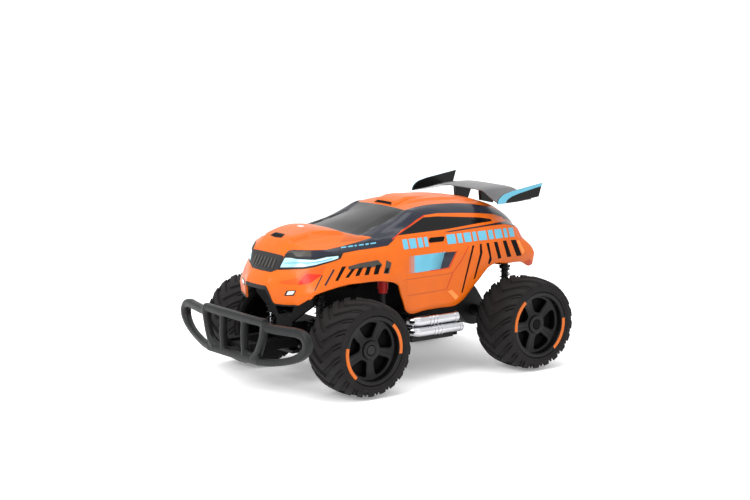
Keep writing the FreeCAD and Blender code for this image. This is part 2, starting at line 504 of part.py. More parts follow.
cover = cut(cover, cyl("y", 4.0, 5, 60, RX, AZ), cyl("y", 1.27, 5, 12, IX, IZ))
final(cover, "gearbox_cover")
final(group(cut(cyl("y", 3.97, 50, 56, RX, AZ), cyl("y", 2.56, 45, 60, RX, AZ)), cut(cyl("y", 3.97, -56, -50, RX, AZ), cyl("y", 2.56, -60, -45, RX, AZ))), "axle_bushes")
motor = cut(fuse(cyl("y", 10.0, -33.5, -9.1, PX, PZ), cyl("y", 3.2, -35.5, -33, PX, PZ)), cyl("y", 1.05, -22, -5, PX, PZ))
final(motor, "drive_motor")

# ------------------------------------------------------------------ bumper
# Front bumper: the outline seen from the front, kept to a band that bends back towards its ends.
OUT = [(-50, 75), (50, 75), (56, 71.2), (92, 71.6), (102, 69.5), (107.6, 63), (107.2, 54), (101, 44.5), (88, 37.6), (66, 32.6), (50, 30.6), (42, 30), (-42, 30), (-50, 30.6), (-66, 32.6),
       (-88, 37.6), (-101, 44.5), (-107.2, 54), (-107.6, 63), (-102, 69.5), (-92, 71.6), (-56, 71.2)]
HOLES = [[(54, 62.8), (92.5, 63), (98.3, 59), (98.3, 54.5), (86, 46.8), (68, 41.2), (54, 39.4), (50.5, 44)],
         [(22.5, 66.8), (34, 66.8), (41.5, 63), (41.5, 56), (38.5, 47), (31, 39.2), (22.5, 38.5)], [(-13.5, 66.8), (13.5, 66.8), (13.5, 38.5), (-13.5, 38.5)]]
face = prism("yz", OUT, 140, 200)
for h in HOLES[:2]:
    face = cut(face, prism("yz", h, 130, 210), prism("yz", [(-a, b) for a, b in h], 130, 210))
face = cut(face, prism("yz", HOLES[2], 130, 210))
FRONT = [(-112, 170.5), (-100, 173), (-56, 182), (-44, 184.5), (44, 184.5), (56, 182), (100, 173), (112, 170.5)]
t = D["bumper_t"]
band = prism("xy", [(x, y) for y, x in FRONT] + [(x - t * (0.72 if abs(y) > 90 else 1.0), y) for y, x in reversed(FRONT)], 20, 90)
final(common(face, band), "front_bumper")
brkt = fuse(box(124.4, 175.4, 14, 22, 38, 46), box(124.4, 175.4, -22, -14, 38, 46), box(124.4, 140, -22, 22, 38, 42), box(160, 175.4, -22, 22, 40, 43.5), box(121.2, 128, -12.8, 12.8, 33.2, 41.2), box(124.4, 128, -22, 22, 38, 46))
final(brkt, "bumper_bracket")

# --------------------------------------------------------------- exhaust pipes
def pipe(z, x_end, x_front):
    """Plain tube with a bend inwards at its front, three clamp bands and a flared, hollow end."""
    y, r = D["pipe_y"], D["pipe_r"]
    a, b, c, d = V(x_end, y, z), V(x_front - 8, y, z), V(x_front, y - 8, z), V(x_front, D["tub_half"] + 0.05, z)
    mid = V(x_front - 8 + 8 * math.sin(math.radians(45)), y - 8 + 8 * math.cos(math.radians(45)), z)
    path = Part.Wire([Part.LineSegment(a, b).toShape(), Part.Arc(b, mid, c).toShape(), Part.LineSegment(c, d).toShape()])
    prof = Part.Wire([Part.makeCircle(r, a, V(1, 0, 0))])
    f = doc.addObject("Part::Feature", uid("pipe"))
    f.Shape = path.makePipeShell([prof], True, True)
    o = fuse(f, *[cyl("x", r + 0.45, x, x + 2.2, y, z) for x in (x_end + 24, x_end + 28.2, x_end + 32.4)], cyl("x", r + 0.35, x_end, x_end + 4, y, z))
    return cut(o, cyl("x", r - 1.1, x_end - 1, x_end + 14, y, z))


pair = group(pipe(56.6, -27, 24), pipe(46.6, -32.5, 24))
final(group(pair, mirrored(pair)), "exhaust_pipes")

# ------------------------------------------------------------- body and wing
SECTIONS = [
    (155, [(0, 109), (10, 109), (15, 108.5), (19, 105), (21, 100), (22, 95), (20, 90)]),
    (149.5, [(0, 114), (14, 114), (24, 113), (31, 110), (37, 105), (41, 95), (40, 83)]),
    (144, [(0, 125.5), (14, 125.5), (27, 124.5), (38, 120), (46, 112), (50, 98), (49, 82)]),
    (139, [(0, 136), (16, 135.5), (32, 133), (46, 125), (53, 114), (57, 100), (55, 86)]),
    (128, [(0, 139), (18, 138.5), (42, 135), (56, 128), (61.5, 118), (65, 106), (64, 94)]),
    (106, [(0, 143.5), (20, 142), (50, 137), (62, 131), (67, 123), (70, 112), (70, 100)]),
    (72, [(0, 143.5), (24, 142.5), (54, 138), (62, 134), (67, 127), (70, 114), (71, 101.5)]),
    (60, [(0, 146), (26, 145), (52, 139), (61, 136), (67, 127), (70, 114), (71, 100)]),
    (47, [(0, 149.5), (25, 148.5), (48.5, 143), (60.5, 137), (66.5, 127), (70, 112), (71, 96)]),
    (38, [(0, 152), (25, 151), (46, 146.5), (60, 137), (66, 127), (70, 100), (70, 66)]),
    (10, [(0, 160), (22, 159.5), (38, 157.5), (60, 137.5), (66, 127), (70, 100), (69.5, 66)]),
    (-28, [(0, 165), (22, 163.5), (39, 159), (59.5, 138), (65.5, 127), (69.5, 100), (69, 67)]),
    (-52, [(0, 164.5), (22, 163), (39, 158.5), (59, 138), (65, 126), (68, 108), (68, 86)]),
    (-75, [(0, 161.5), (22, 160), (38.5, 156), (58.5, 138), (64, 126), (66, 113), (66, 101)]),
    (-100, [(0, 157), (21, 155.5), (37, 151.5), (57, 137.5), (62.5, 125), (64.5, 112), (65, 100)]),
    (-116, [(0, 151), (20, 149.5), (35, 145), (54, 134), (60, 122), (63, 110), (63, 98)]),
    (-126, [(0, 141), (19, 140), (33, 137.5), (49, 129), (57, 119.5), (61, 108), (61, 94)]),
    (-137, [(0, 117), (19, 117), (34, 116.5), (48, 115.5), (55, 113), (58, 106), (58, 96)]),
]


def shell(inset):
    """Ruled loft through the cross-sections; inset makes the inner surface, which runs out below the bottom edge."""
    wires = []
    for k, (x, pts) in enumerate(SECTIONS):
        if inset:
            x = x - inset if k == 0 else x + inset if k == len(SECTIONS) - 1 else x
            q = []
            for j, (y, z) in enumerate(pts):
                if j == 0:
                    q.append((0, z - inset))
                elif j == 1:
                    q.append((y - 0.3, z - inset))
                elif j == 2:
                    q.append((y - 0.45 * inset, z - inset))
                elif j < 5:
                    q.append((y - 0.9 * inset, z - 0.7 * inset))
                elif j == 5:
                    q.append((y - inset, z))
                else:
                    q.append((y - inset, z - 4.0))
            pts = q
        ring = pts + [(-y, z) for y, z in reversed(pts[1:])]
        w = doc.addObject("Part::Feature", uid("section"))
        w.Shape = Part.makePolygon([V(x, y, z) for y, z in ring] + [V(x, ring[0][0], ring[0][1])])
        wires.append(w)
    o = doc.addObject("Part::Loft", uid("loft"))
    o.Sections = wires
    o.Solid = True
    o.Ruled = True
    return o


body = cut(shell(0), shell(D["shell_t"]), prism("yz", [(-26, 76), (-16.5, 94), (16.5, 94), (26, 76)], 136, 165))
final(body, "body_shell")

# Body mounts: black posts on the chassis and red sockets inside the body; one post at the back.
posts = [fuse(cyl("z", 2.6, "dims.tub_top+0.05", 90, "dims.post_x", y)) for y in ("dims.post_y", "-dims.post_y")]
final(group(*posts, cyl("z", 3.0, 98.55, 147.5, -113.5, 0)), "body_posts")


def socket(k):
    y = k * D["post_y"]
    o = fuse(cyl("z", 5.3, 88, 112, "dims.post_x", s(y)), cyl("z", 4.3, 84.2, 88.1, "dims.post_x", s(y)))
    arm = box(D["post_x"] - 4.4, D["post_x"] + 4.4, 50 if k > 0 else -66.6, 66.6 if k > 0 else -50, 100, 110)
    return cut(fuse(o, arm), cyl("z", 2.66, 80, 91, "dims.post_x", s(y)))


final(group(socket(1), socket(-1)), "body_sockets")

w = D["wing_t"]
deckp = [(-66, 160.5), (-33, 170.8), (33, 170.8), (66, 160.5), (66, 160.5 - w), (33, 170.8 - w), (-33, 170.8 - w), (-66, 160.5 - w)]
blade = common(prism("yz", deckp, -140, -70), prism("xy", [(-90, -33), (-90, 33), (-82, 67), (-129, 67), (-127, 33), (-127, -33), (-129, -67), (-82, -67)], 150, 180))
PLATE = [(-80.3, 159.5), (-82, 163.5), (-86, 167.5), (-92, 170), (-104, 171.8), (-138, 176.5), (-134, 164.2)]
ends = [prism("xz", PLATE, 65.95, 68.0), prism("xz", PLATE, -68.0, -65.95)]
final(fuse(blade, *ends), "wing_blade")
strut = [prism("xz", [(-97.5, 168.75), (-98.5, 157.2), (-113.5, 153.6), (-120, 168.75)], y0, y0 + 4) for y0 in (17.5, -21.5)]
final(group(*strut), "wing_supports")

# ----------------------------------------------------------------- fasteners
def screw(x, y, z, r=2.3, h=1.4, shank=6.0, up=True):
    """Pan-head screw with its head above (or below) z."""
    if up:
        return fuse(cyl("z", r, z, z + h, x, y), cyl("z", 1.2, z - shank, z + 0.1, x, y))
    return fuse(cyl("z", r, z - h, z, x, y), cyl("z", 1.2, z - 0.1, z + shank, x, y))


final(group(*[screw(x, y, 62.35) for x in (-50, 55) for y in (-33, 33)],
            *[screw(x, y, 31.5, 2.3, 1.2, 4.5, False) for x in (98, 116) for y in (-9, 9)]), "chassis_screws")

# -------------------------------------------------------------------- output
doc.recompute()
bad = [(o.Name, o.Label, o.State) for o in doc.Objects if "Invalid" in o.State or "Error" in o.State]
if bad:
    raise SystemExit("failed objects: %s" % bad)
os.makedirs("parts", exist_ok=True)
seen = set()
for o in PARTS:
    sh = o.Shape
    if sh.isNull() or not sh.isValid() or not sh.Solids or o.Label in seen:
        raise SystemExit("bad shape: %s null=%s valid=%s solids=%d" % (o.Label, sh.isNull(), sh.isValid(), len(sh.Solids)))
    seen.add(o.Label)
for old in os.listdir("parts"):
    if old.endswith(".step") and old[:-5] not in seen:
        os.remove(os.path.join("parts", old))
for o in PARTS:
    o.Shape.exportStep(os.path.join("parts", o.Label + ".step"))
print("parts:", len(PARTS))
for o in PARTS:
    b = o.Shape.BoundBox
    print("%-26s solids %d vol %9.1f  x %7.1f %7.1f y %7.1f %7.1f z %6.1f %6.1f" % (o.Label, len(o.Shape.Solids), o.Shape.Volume, b.XMin, b.XMax, b.YMin, b.YMax, b.ZMin, b.ZMax))
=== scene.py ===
import bpy
import bmesh
import json
import math
from mathutils import Vector, Matrix
from mathutils.bvhtree import BVHTree
from mathutils.geometry import delaunay_2d_cdt


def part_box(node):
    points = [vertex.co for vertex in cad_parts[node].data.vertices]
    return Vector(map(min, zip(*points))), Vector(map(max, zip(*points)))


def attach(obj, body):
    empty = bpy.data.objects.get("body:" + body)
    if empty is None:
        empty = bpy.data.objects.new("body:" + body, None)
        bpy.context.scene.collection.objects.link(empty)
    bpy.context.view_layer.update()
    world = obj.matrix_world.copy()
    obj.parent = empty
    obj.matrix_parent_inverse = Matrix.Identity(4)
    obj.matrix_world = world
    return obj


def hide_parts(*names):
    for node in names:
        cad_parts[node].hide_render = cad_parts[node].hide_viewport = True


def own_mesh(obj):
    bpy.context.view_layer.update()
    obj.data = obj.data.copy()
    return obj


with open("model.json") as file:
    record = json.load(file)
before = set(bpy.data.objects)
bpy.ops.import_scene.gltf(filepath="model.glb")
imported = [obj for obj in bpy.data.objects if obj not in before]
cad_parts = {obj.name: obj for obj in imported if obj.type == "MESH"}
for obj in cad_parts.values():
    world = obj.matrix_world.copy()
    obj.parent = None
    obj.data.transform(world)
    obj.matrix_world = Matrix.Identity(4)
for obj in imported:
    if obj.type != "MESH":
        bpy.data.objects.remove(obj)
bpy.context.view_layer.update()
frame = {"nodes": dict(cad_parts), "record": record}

# ------------------------------------------------------------------ frame
# Lengths below are in millimetres from the point on the ground midway between the axles.
B = {n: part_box(n) for n in frame["nodes"]}
MID = {n: (Vector(b[0]) + Vector(b[1])) / 2 for n, b in B.items()}
AXF, AXR = MID["rim_front_left"].x, MID["rim_rear_left"].x
X0 = (AXF + AXR) / 2
AXZ = MID["rim_front_left"].z * 1000
TR = (B["tyre_front_left"][1][2] - B["tyre_front_left"][0][2]) * 500
TY0, TY1 = B["tyre_front_left"][0][1] * 1000, B["tyre_front_left"][1][1] * 1000


def W(p):
    return Vector((p[0] / 1000 + X0, p[1] / 1000, p[2] / 1000))


def link(o):
    bpy.context.scene.collection.objects.link(o)
    return o


def mesh(name, verts, faces, mat, body=None, smooth=30, over=(), mm=True):
    """A mesh object from points in millimetres; smooth is the angle above which an edge stays sharp."""
    me = bpy.data.meshes.new(name)
    me.from_pydata([W(v) if mm else v for v in verts], [], faces)
    me.validate()
    bm = bmesh.new()
    bm.from_mesh(me)
    bmesh.ops.remove_doubles(bm, verts=bm.verts, dist=1e-6)
    bmesh.ops.recalc_face_normals(bm, faces=bm.faces)
    bm.to_mesh(me)
    bm.free()
    finish_mesh(me, smooth)
    for m in (mat if isinstance(mat, (list, tuple)) else [mat]):
        me.materials.append(m)
    o = link(bpy.data.objects.new(name, me))
    if body:
        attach(o, body)
    if over:
        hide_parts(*over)
    return o


def finish_mesh(me, smooth):
    me.shade_smooth()
    me.set_sharp_from_angle(angle=math.radians(smooth))


# -------------------------------------------------------------- materials
def srgb(r, g, b):
    f = lambda c: c / 12.92 if c <= 0.04045 else ((c + 0.055) / 1.055) ** 2.4
    return (f(r / 255), f(g / 255), f(b / 255), 1.0)


def material(name, base, rough=0.4, metal=0.0, coat=0.0, coat_rough=0.05, spec=0.5, vary=0.06, scale=120.0, bump=0.0, bump_scale=900.0,
             rough_vary=0.06, second=None):
    """A procedural plastic, paint, rubber or metal: mottled colour, uneven gloss and a fine bump."""
    m = bpy.data.materials.new(name)
    m.use_nodes = True
    nt = m.node_tree
    p = nt.nodes["Principled BSDF"]
    L = nt.links.new
    p.inputs["Metallic"].default_value = metal
    p.inputs["Coat Weight"].default_value = coat
    p.inputs["Coat Roughness"].default_value = coat_rough
    p.inputs["Specular IOR Level"].default_value = spec
    tc = nt.nodes.new("ShaderNodeTexCoord")
    n1 = nt.nodes.new("ShaderNodeTexNoise")
    n1.inputs["Scale"].default_value = scale
    n1.inputs["Detail"].default_value = 5
    L(tc.outputs["Object"], n1.inputs["Vector"])
    ramp = nt.nodes.new("ShaderNodeValToRGB")
    lo = second or tuple(c * (1 - vary) for c in base[:3]) + (1,)
    hi = tuple(min(1, c * (1 + vary)) for c in base[:3]) + (1,)
    ramp.color_ramp.elements[0].position, ramp.color_ramp.elements[1].position = 0.32, 0.68
    ramp.color_ramp.elements[0].color, ramp.color_ramp.elements[1].color = lo, hi
    L(n1.outputs["Fac"], ramp.inputs["Fac"])
    L(ramp.outputs["Color"], p.inputs["Base Color"])
    n2 = nt.nodes.new("ShaderNodeTexNoise")
    n2.inputs["Scale"].default_value = scale * 2.3
    n2.inputs["Detail"].default_value = 4
    L(tc.outputs["Object"], n2.inputs["Vector"])
    mr = nt.nodes.new("ShaderNodeMapRange")
    mr.inputs["To Min"].default_value = max(0.02, rough - rough_vary)
    mr.inputs["To Max"].default_value = min(1.0, rough + rough_vary)
    L(n2.outputs["Fac"], mr.inputs["Value"])
    L(mr.outputs["Result"], p.inputs["Roughness"])
    if bump:
        n3 = nt.nodes.new("ShaderNodeTexNoise")
        n3.inputs["Scale"].default_value = bump_scale
        n3.inputs["Detail"].default_value = 6
        L(tc.outputs["Object"], n3.inputs["Vector"])
        b = nt.nodes.new("ShaderNodeBump")
        b.inputs["Strength"].default_value = bump
        b.inputs["Distance"].default_value = 0.0002
        L(n3.outputs["Fac"], b.inputs["Height"])
        L(b.outputs["Normal"], p.inputs["Normal"])
    return m


ORANGE = material("paint_orange", srgb(204, 92, 6), 0.36, coat=0.1, coat_rough=0.14, vary=0.05, scale=60, bump=0.04, bump_scale=500, spec=0.22)
ORANGE_DEEP = material("paint_orange_deep", srgb(198, 78, 8), 0.36, coat=0.1, coat_rough=0.14, vary=0.06, scale=60, bump=0.04, bump_scale=500, spec=0.22)
# Painted shade: a darker orange-red laid along the door crease and on the tail's lower corner facet, where shade falls.
ORANGE_RED_PAINTED_SHADE = material("painted_shade_orange_red", srgb(186, 58, 10), 0.34, coat=0.1, coat_rough=0.12, vary=0.06, scale=60, bump=0.04, bump_scale=500, spec=0.2)
NAVY = material("paint_navy", srgb(20, 24, 40), 0.25, coat=0.18, coat_rough=0.08, vary=0.1, scale=50, bump=0.03, bump_scale=500, spec=0.3)
GLASS_DARK = material("screen_dark", srgb(18, 18, 20), 0.22, coat=0.13, coat_rough=0.03, vary=0.12, scale=30, bump=0.02, bump_scale=300, spec=0.22)
WINDOW = material("window_black", srgb(7, 6, 8), 0.2, coat=0.1, coat_rough=0.05, vary=0.15, scale=30, bump=0.02, bump_scale=300, spec=0.2)
PALE_BLUE = material("paint_pale_blue", srgb(96, 168, 192), 0.3, coat=0.1, coat_rough=0.1, vary=0.06, scale=80, bump=0.03, bump_scale=500, spec=0.2)
LAMP = material("lamp_blue", srgb(134, 180, 196), 0.14, coat=0.35, coat_rough=0.03, vary=0.16, scale=90, bump=0.03, bump_scale=400, second=srgb(178, 206, 214))
LAMP_WHITE = material("lamp_white", srgb(206, 216, 220), 0.15, coat=0.5, coat_rough=0.03, vary=0.05, scale=90, bump=0.02)
WHITE = material("paint_white", srgb(206, 206, 206), 0.35, coat=0.1, vary=0.03, scale=90, bump=0.02)
GREY_TRIM = material("trim_grey", srgb(60, 56, 52), 0.42, coat=0.08, vary=0.1, scale=140, bump=0.1, bump_scale=1500, spec=0.25)
DARK_TRIM = material("trim_dark", srgb(18, 17, 18), 0.45, vary=0.12, scale=140, bump=0.12, bump_scale=1500, spec=0.25)
GRILLE = material("grille_dark", srgb(28, 27, 28), 0.4, coat=0.05, vary=0.12, scale=140, bump=0.1, bump_scale=1300, spec=0.3)
SEAM = material("panel_gap", srgb(150, 58, 12), 0.6, vary=0.08, scale=100, bump=0.05)
RED_EDGE = material("paint_red", srgb(190, 34, 8), 0.35, coat=0.1, vary=0.05, scale=90, bump=0.03, spec=0.2)
BUMPER = material("bumper_nylon", srgb(21, 22, 23), 0.43, vary=0.10, scale=90, bump=0.22, bump_scale=2200, rough_vary=0.08, spec=0.24)
NYLON = material("nylon_black", srgb(16, 16, 17), 0.5, vary=0.12, scale=110, bump=0.2, bump_scale=2000, rough_vary=0.08, spec=0.3)
CHASSIS = material("chassis_nylon", srgb(13, 13, 14), 0.55, vary=0.12, scale=110, bump=0.22, bump_scale=1800, rough_vary=0.08, spec=0.3)
RUBBER = material("tyre_rubber_visual", srgb(26, 24, 24), 0.72, vary=0.14, scale=130, bump=0.35, bump_scale=1700, rough_vary=0.1, spec=0.16)
RIM = material("rim_black_visual", srgb(5, 5, 6), 0.36, coat=0.05, coat_rough=0.2, vary=0.12, scale=90, bump=0.08, bump_scale=1200, spec=0.2)
# Painted shade: a near-black fill for slits, vents, intake mouths, the handle recess, the rim's back and the rear nuts,
# standing for the shade inside these hollows.
HOLLOW_PAINTED_SHADE = material("hollow_painted_shade", srgb(2, 2, 3), 0.6, vary=0.15, scale=90, bump=0.1, bump_scale=900, spec=0.1)
RIM_ORANGE = material("rim_orange", srgb(198, 98, 28), 0.38, coat=0.05, vary=0.06, scale=90, bump=0.04, bump_scale=900, spec=0.2)
CHROME = material("chrome_plate", srgb(196, 196, 200), 0.13, metal=1.0, vary=0.05, scale=70, bump=0.05, bump_scale=600, rough_vary=0.05)
# Painted shade: a darker copy of the chrome, meant for the insides of the pipes; it is not applied anywhere below.
CHROME_PAINTED_SHADE = material("chrome_inside_painted_shade", srgb(120, 120, 124), 0.3, metal=1.0, vary=0.12, scale=70, bump=0.1, bump_scale=600)
STEEL = material("steel_bright", srgb(190, 190, 194), 0.26, metal=1.0, vary=0.08, scale=160, bump=0.1, bump_scale=900)
# Painted shade: a darker copy of the chassis nylon for parts that sit in shade under the shell.
CHASSIS_PAINTED_SHADE = material("chassis_shaded", srgb(4, 4, 5), 0.6, vary=0.14, scale=110, bump=0.22, bump_scale=1800, rough_vary=0.08, spec=0.14)
SPRING = material("spring_black", srgb(40, 40, 42), 0.3, metal=0.7, vary=0.1, scale=160, bump=0.08, bump_scale=900)
RED = material("red_nylon", srgb(168, 10, 8), 0.4, vary=0.1, scale=120, bump=0.12, bump_scale=1500, coat=0.05, spec=0.25)
NATURAL = material("natural_nylon", srgb(222, 218, 204), 0.45, vary=0.05, scale=130, bump=0.12, bump_scale=1500)
BRASS = material("brass_visual", srgb(206, 170, 96), 0.28, metal=1.0, vary=0.08, scale=160, bump=0.1, bump_scale=900)
MOTOR = material("motor_can_visual", srgb(176, 176, 180), 0.3, metal=1.0, vary=0.08, scale=90, bump=0.1, bump_scale=700)
WRAP = material("battery_wrap_visual", srgb(44, 92, 160), 0.3, coat=0.5, vary=0.1, scale=70, bump=0.1, bump_scale=300)
BOARD = material("board_visual", srgb(32, 98, 54), 0.4, vary=0.2, scale=320, bump=0.3, bump_scale=1500)
# Painted highlight: a pale orange laid on the door's lower facet and the tail facet where light catches them.
PAINTED_HIGHLIGHT_ORANGE = material("painted_facet_highlight", srgb(236, 132, 60), 0.3, coat=0.1, vary=0.05, scale=90, bump=0.03, spec=0.2)
PINK = material("tail_lamp_pink", srgb(200, 80, 76), 0.2, coat=0.4, vary=0.1, scale=120, bump=0.03)
# Painted shade: a brown-black for the shell's inner face, standing for the shade under the shell and inside the wheel
# arches.
SHELL_INSIDE_PAINTED_SHADE = material("shell_inside_painted_shade", srgb(26, 24, 23), 0.6, vary=0.1, scale=80, bump=0.08, bump_scale=700)
WING_DECK = material("wing_deck", srgb(44, 44, 48), 0.34, coat=0.25, vary=0.16, scale=40, bump=0.05, bump_scale=800)
WING_BLACK = material("wing_black_visual", srgb(3, 3, 4), 0.32, coat=0.08, vary=0.12, scale=90, bump=0.06, bump_scale=900, spec=0.18)

SLOTS = {"chassis_black": CHASSIS, "black_plastic": NYLON, "steel": STEEL, "spring_steel": SPRING, "red_plastic": RED, "gear_plastic": NATURAL,
         "motor_can": MOTOR, "brass": BRASS, "battery_wrap": WRAP, "board_green": BOARD, "tyre_rubber": RUBBER, "rim_black": RIM,
         "chrome": CHROME, "shell_orange": ORANGE, "wing_black": WING_BLACK}
NODE_SLOT = {s["node"]: s["material_slot"] for s in frame["record"]["subparts"]}
for n, o in frame["nodes"].items():
    m = SLOTS[NODE_SLOT[n]]
    # Painted shade: the shock tower, bumper bracket, bulkhead and deck sit in shade and get the darker copy of the
    # chassis nylon.
    if n in ("front_shock_tower", "bumper_bracket", "front_bulkhead", "chassis_deck"):
        m = CHASSIS_PAINTED_SHADE
    # Painted shade: the rear nuts sit deep in the hub and get the near-black hollow fill that stands for the recess's
    # shade.
    elif n == "wheel_nuts_rear":
        m = HOLLOW_PAINTED_SHADE
    if not o.material_slots:
        o.data.materials.append(m)
    for k in o.material_slots:
        k.material = m

# ------------------------------------------------------------- body shell
# Grid of points on the outer surface: rows run from the nose's lower edge over the bonnet, screen, roof and tail;
# columns run from the centreline (0) to the lower edge of the side (10).
ROWS = [
    [(156.5, 0, 94), (156.3, 9, 94), (156, 16, 94), (154.8, 20.5, 88), (153.8, 25, 82), (150.5, 34, 81), (147, 43, 81.5), (144, 51, 83), (142, 55, 85.5), (140, 59, 88.5), (138, 62, 91.5)],
    [(156.3, 0, 99.5), (156, 9, 99.5), (155.3, 16.5, 99), (154, 22, 95), (152.8, 27, 91), (150, 35, 89.5), (147, 44, 90), (143.5, 52, 91), (140.5, 57, 93), (136.5, 61.5, 94.5), (130.5, 65, 95)],
    [(153.5, 0, 106), (153.3, 9, 106), (152.5, 16, 105.5), (151, 23, 103.5), (149.5, 30, 102), (147, 38, 101.5), (143.5, 46, 102), (139, 53.5, 102), (133.5, 59.5, 101.5), (128, 64.5, 100), (121, 67.8, 97.5)],
    [(150, 0, 111), (150, 8, 110.8), (149, 14.8, 110.6), (147.3, 21, 112), (145.2, 27, 114), (142.5, 34, 115), (137.5, 42, 116), (131.5, 50, 115), (126, 57, 110.5), (119, 65, 104), (109, 69.5, 99.8)],
    [(142.3, 0, 124.5), (142.3, 9, 124.5), (142.2, 18, 124.5), (142, 25, 124.5), (139.5, 30, 125), (134.5, 38, 125), (127.5, 46, 124), (120, 54, 120.5), (114.5, 61, 113), (107, 67, 105.5), (98, 70.3, 101)],
    [(140.3, 0, 132), (140.2, 9, 132), (139.5, 18, 131.7), (138, 25, 131), (135.5, 31, 130.6), (129, 40, 130.5), (121, 48, 129), (112, 56.5, 123), (105, 62.5, 114), (97.5, 68, 106), (87, 71, 101)],
    [(135.5, 0, 137.8), (135.5, 9, 137.8), (134.8, 19, 137), (130, 29, 135.5), (124, 38, 134.2), (118, 46, 133.2), (111, 53, 130), (103, 59, 124.5), (96.5, 64, 115), (88, 69, 106), (76, 71.3, 101)],
    [(121, 0, 141.8), (121, 9, 141.8), (120, 21, 141.5), (114, 32, 138.5), (107, 42, 136), (101, 49.5, 134.5), (95, 56.5, 129.5), (88, 62, 124), (83, 66, 115), (76, 70, 106), (66, 71.5, 100.5)],
    [(102, 0, 145.2), (102, 10, 145.2), (101, 25, 143.8), (97, 36, 140.3), (91, 45, 137.3), (86, 51.5, 135.5), (79, 58.5, 130), (72, 63.5, 125), (67, 67, 115), (62, 70.3, 106), (56, 71.5, 99)],
    [(86, 0, 144), (86, 11, 144), (85, 28, 142.7), (80, 39.5, 140), (74, 48, 138), (69, 54, 136.3), (62, 60, 131), (57, 64.5, 125.5), (53.5, 67.5, 115), (50.5, 70.5, 105), (47, 71.4, 96.5)],
    [(73, 0, 141.5), (72.7, 13, 141.4), (71, 30, 140.6), (66.5, 43, 139.3), (62, 52, 138), (57, 56.5, 137), (50, 60.5, 134), (47, 65, 127), (45, 68, 115), (43.5, 70.5, 104), (42, 71.2, 93)],
    [(52, 0, 148), (51, 13, 147.8), (49, 28, 146.5), (45.5, 40, 144.5), (42.5, 48, 143), (39.5, 55, 140.5), (38, 60, 137), (37.5, 64.7, 127), (37.5, 68, 115), (37.5, 70, 100), (37.5, 70, 80)],
    [(32, 0, 153.3), (31, 12, 153.2), (30, 26, 152), (27, 38.5, 150), (26, 45, 149.5), (23, 54.2, 144), (22, 60, 137.2), (24, 64.8, 127), (27, 68.2, 115), (29, 70, 98), (31, 69.8, 66.5)],
    [(10, 0, 159.5), (10, 12, 159.3), (10, 25, 159.0), (10, 37.7, 158.3), (7, 43, 158.0), (4, 51, 151.5), (4, 60, 137.3), (6, 65, 127), (7, 68.5, 115), (8, 70, 98), (9, 69.5, 66.5)],
    [(-6, 0, 163.8), (-6, 12, 163.6), (-6, 25, 162.7), (-7, 38, 160.8), (-9, 43.5, 159.2), (-11, 51, 152.5), (-11, 59.8, 137.4), (-9, 65, 127), (-9, 68.5, 115), (-9, 70, 98), (-9, 69.3, 66.7)],
    [(-36, 0, 165.3), (-36, 12, 165.1), (-36, 25, 164), (-36, 38, 161), (-36, 43.5, 158), (-35, 51, 152), (-34, 59.5, 137.5), (-30, 64.8, 127), (-29, 68.3, 115), (-28.5, 69.7, 98), (-28, 69, 67)],
    [(-60, 0, 163.8), (-60, 12, 163.6), (-60, 25, 162.5), (-60, 37.7, 159.3), (-60, 43.5, 156), (-59, 50.5, 149.5), (-58, 59, 137.6), (-56, 64, 127), (-55, 67.3, 115), (-54.5, 68.5, 102), (-54, 68.3, 86)],
    [(-82, 0, 160.5), (-82, 12, 160.3), (-82, 25, 159), (-82, 37, 155.8), (-81, 43, 152), (-80, 49.5, 145.5), (-78, 58.5, 137.6), (-76, 63, 127), (-75.5, 66, 116), (-75, 67, 108), (-75, 66.5, 101)],
    [(-101, 0, 156.5), (-101, 12, 156.3), (-101, 24, 155), (-100, 35.5, 151.5), (-100, 41.5, 147.5), (-99, 47, 142.5), (-98, 57.5, 137.5), (-97, 61.5, 127), (-97, 64, 116), (-97, 65, 108), (-97, 64.7, 100)],
    [(-114, 0, 151.5), (-114, 12, 151.3), (-113.5, 23, 150), (-113, 34, 146.5), (-112.5, 40, 142.5), (-112, 44.5, 139), (-110, 55.5, 134.5), (-110.5, 59.5, 126), (-112, 62.5, 116), (-114, 63.5, 107), (-116, 62.5, 99)],
    [(-125, 0, 143), (-125, 12, 142.8), (-124.5, 22, 141.8), (-124, 32, 139.5), (-123, 38, 136.5), (-122, 42.5, 133.5), (-121, 50.5, 131), (-121.5, 55, 124), (-126, 59.5, 116.5), (-128.5, 61, 107), (-127.5, 60, 93.5)],
    [(-131, 0, 130), (-131, 12, 130), (-130.5, 22, 129.5), (-130, 31, 128.5), (-129, 37, 127.5), (-128, 42, 126), (-126.5, 48, 124), (-128, 53, 118.5), (-133, 57.5, 113), (-136, 59, 106), (-134, 58.5, 94.5)],
    [(-136, 0, 112), (-136, 12, 112), (-136, 22, 112), (-136, 31, 112), (-136, 37, 112), (-136, 42, 112), (-136, 46, 111.5), (-136.5, 50, 110.5), (-137, 54, 108), (-137, 56, 102), (-136, 56, 95.5)],
]
SPLIT_ROWS = {3: 0.55, 4: 0.7, 5: 0.4, 6: 0.6, 10: 0.75, 11: 0.3, 13: 0.55, 19: 0.3, 20: 0.5, 21: 0.4}
SPLIT_COLS = {2: 0.55, 3: 0.85, 5: 0.5, 6: 0.85, 7: 0.3, 9: 0.5}


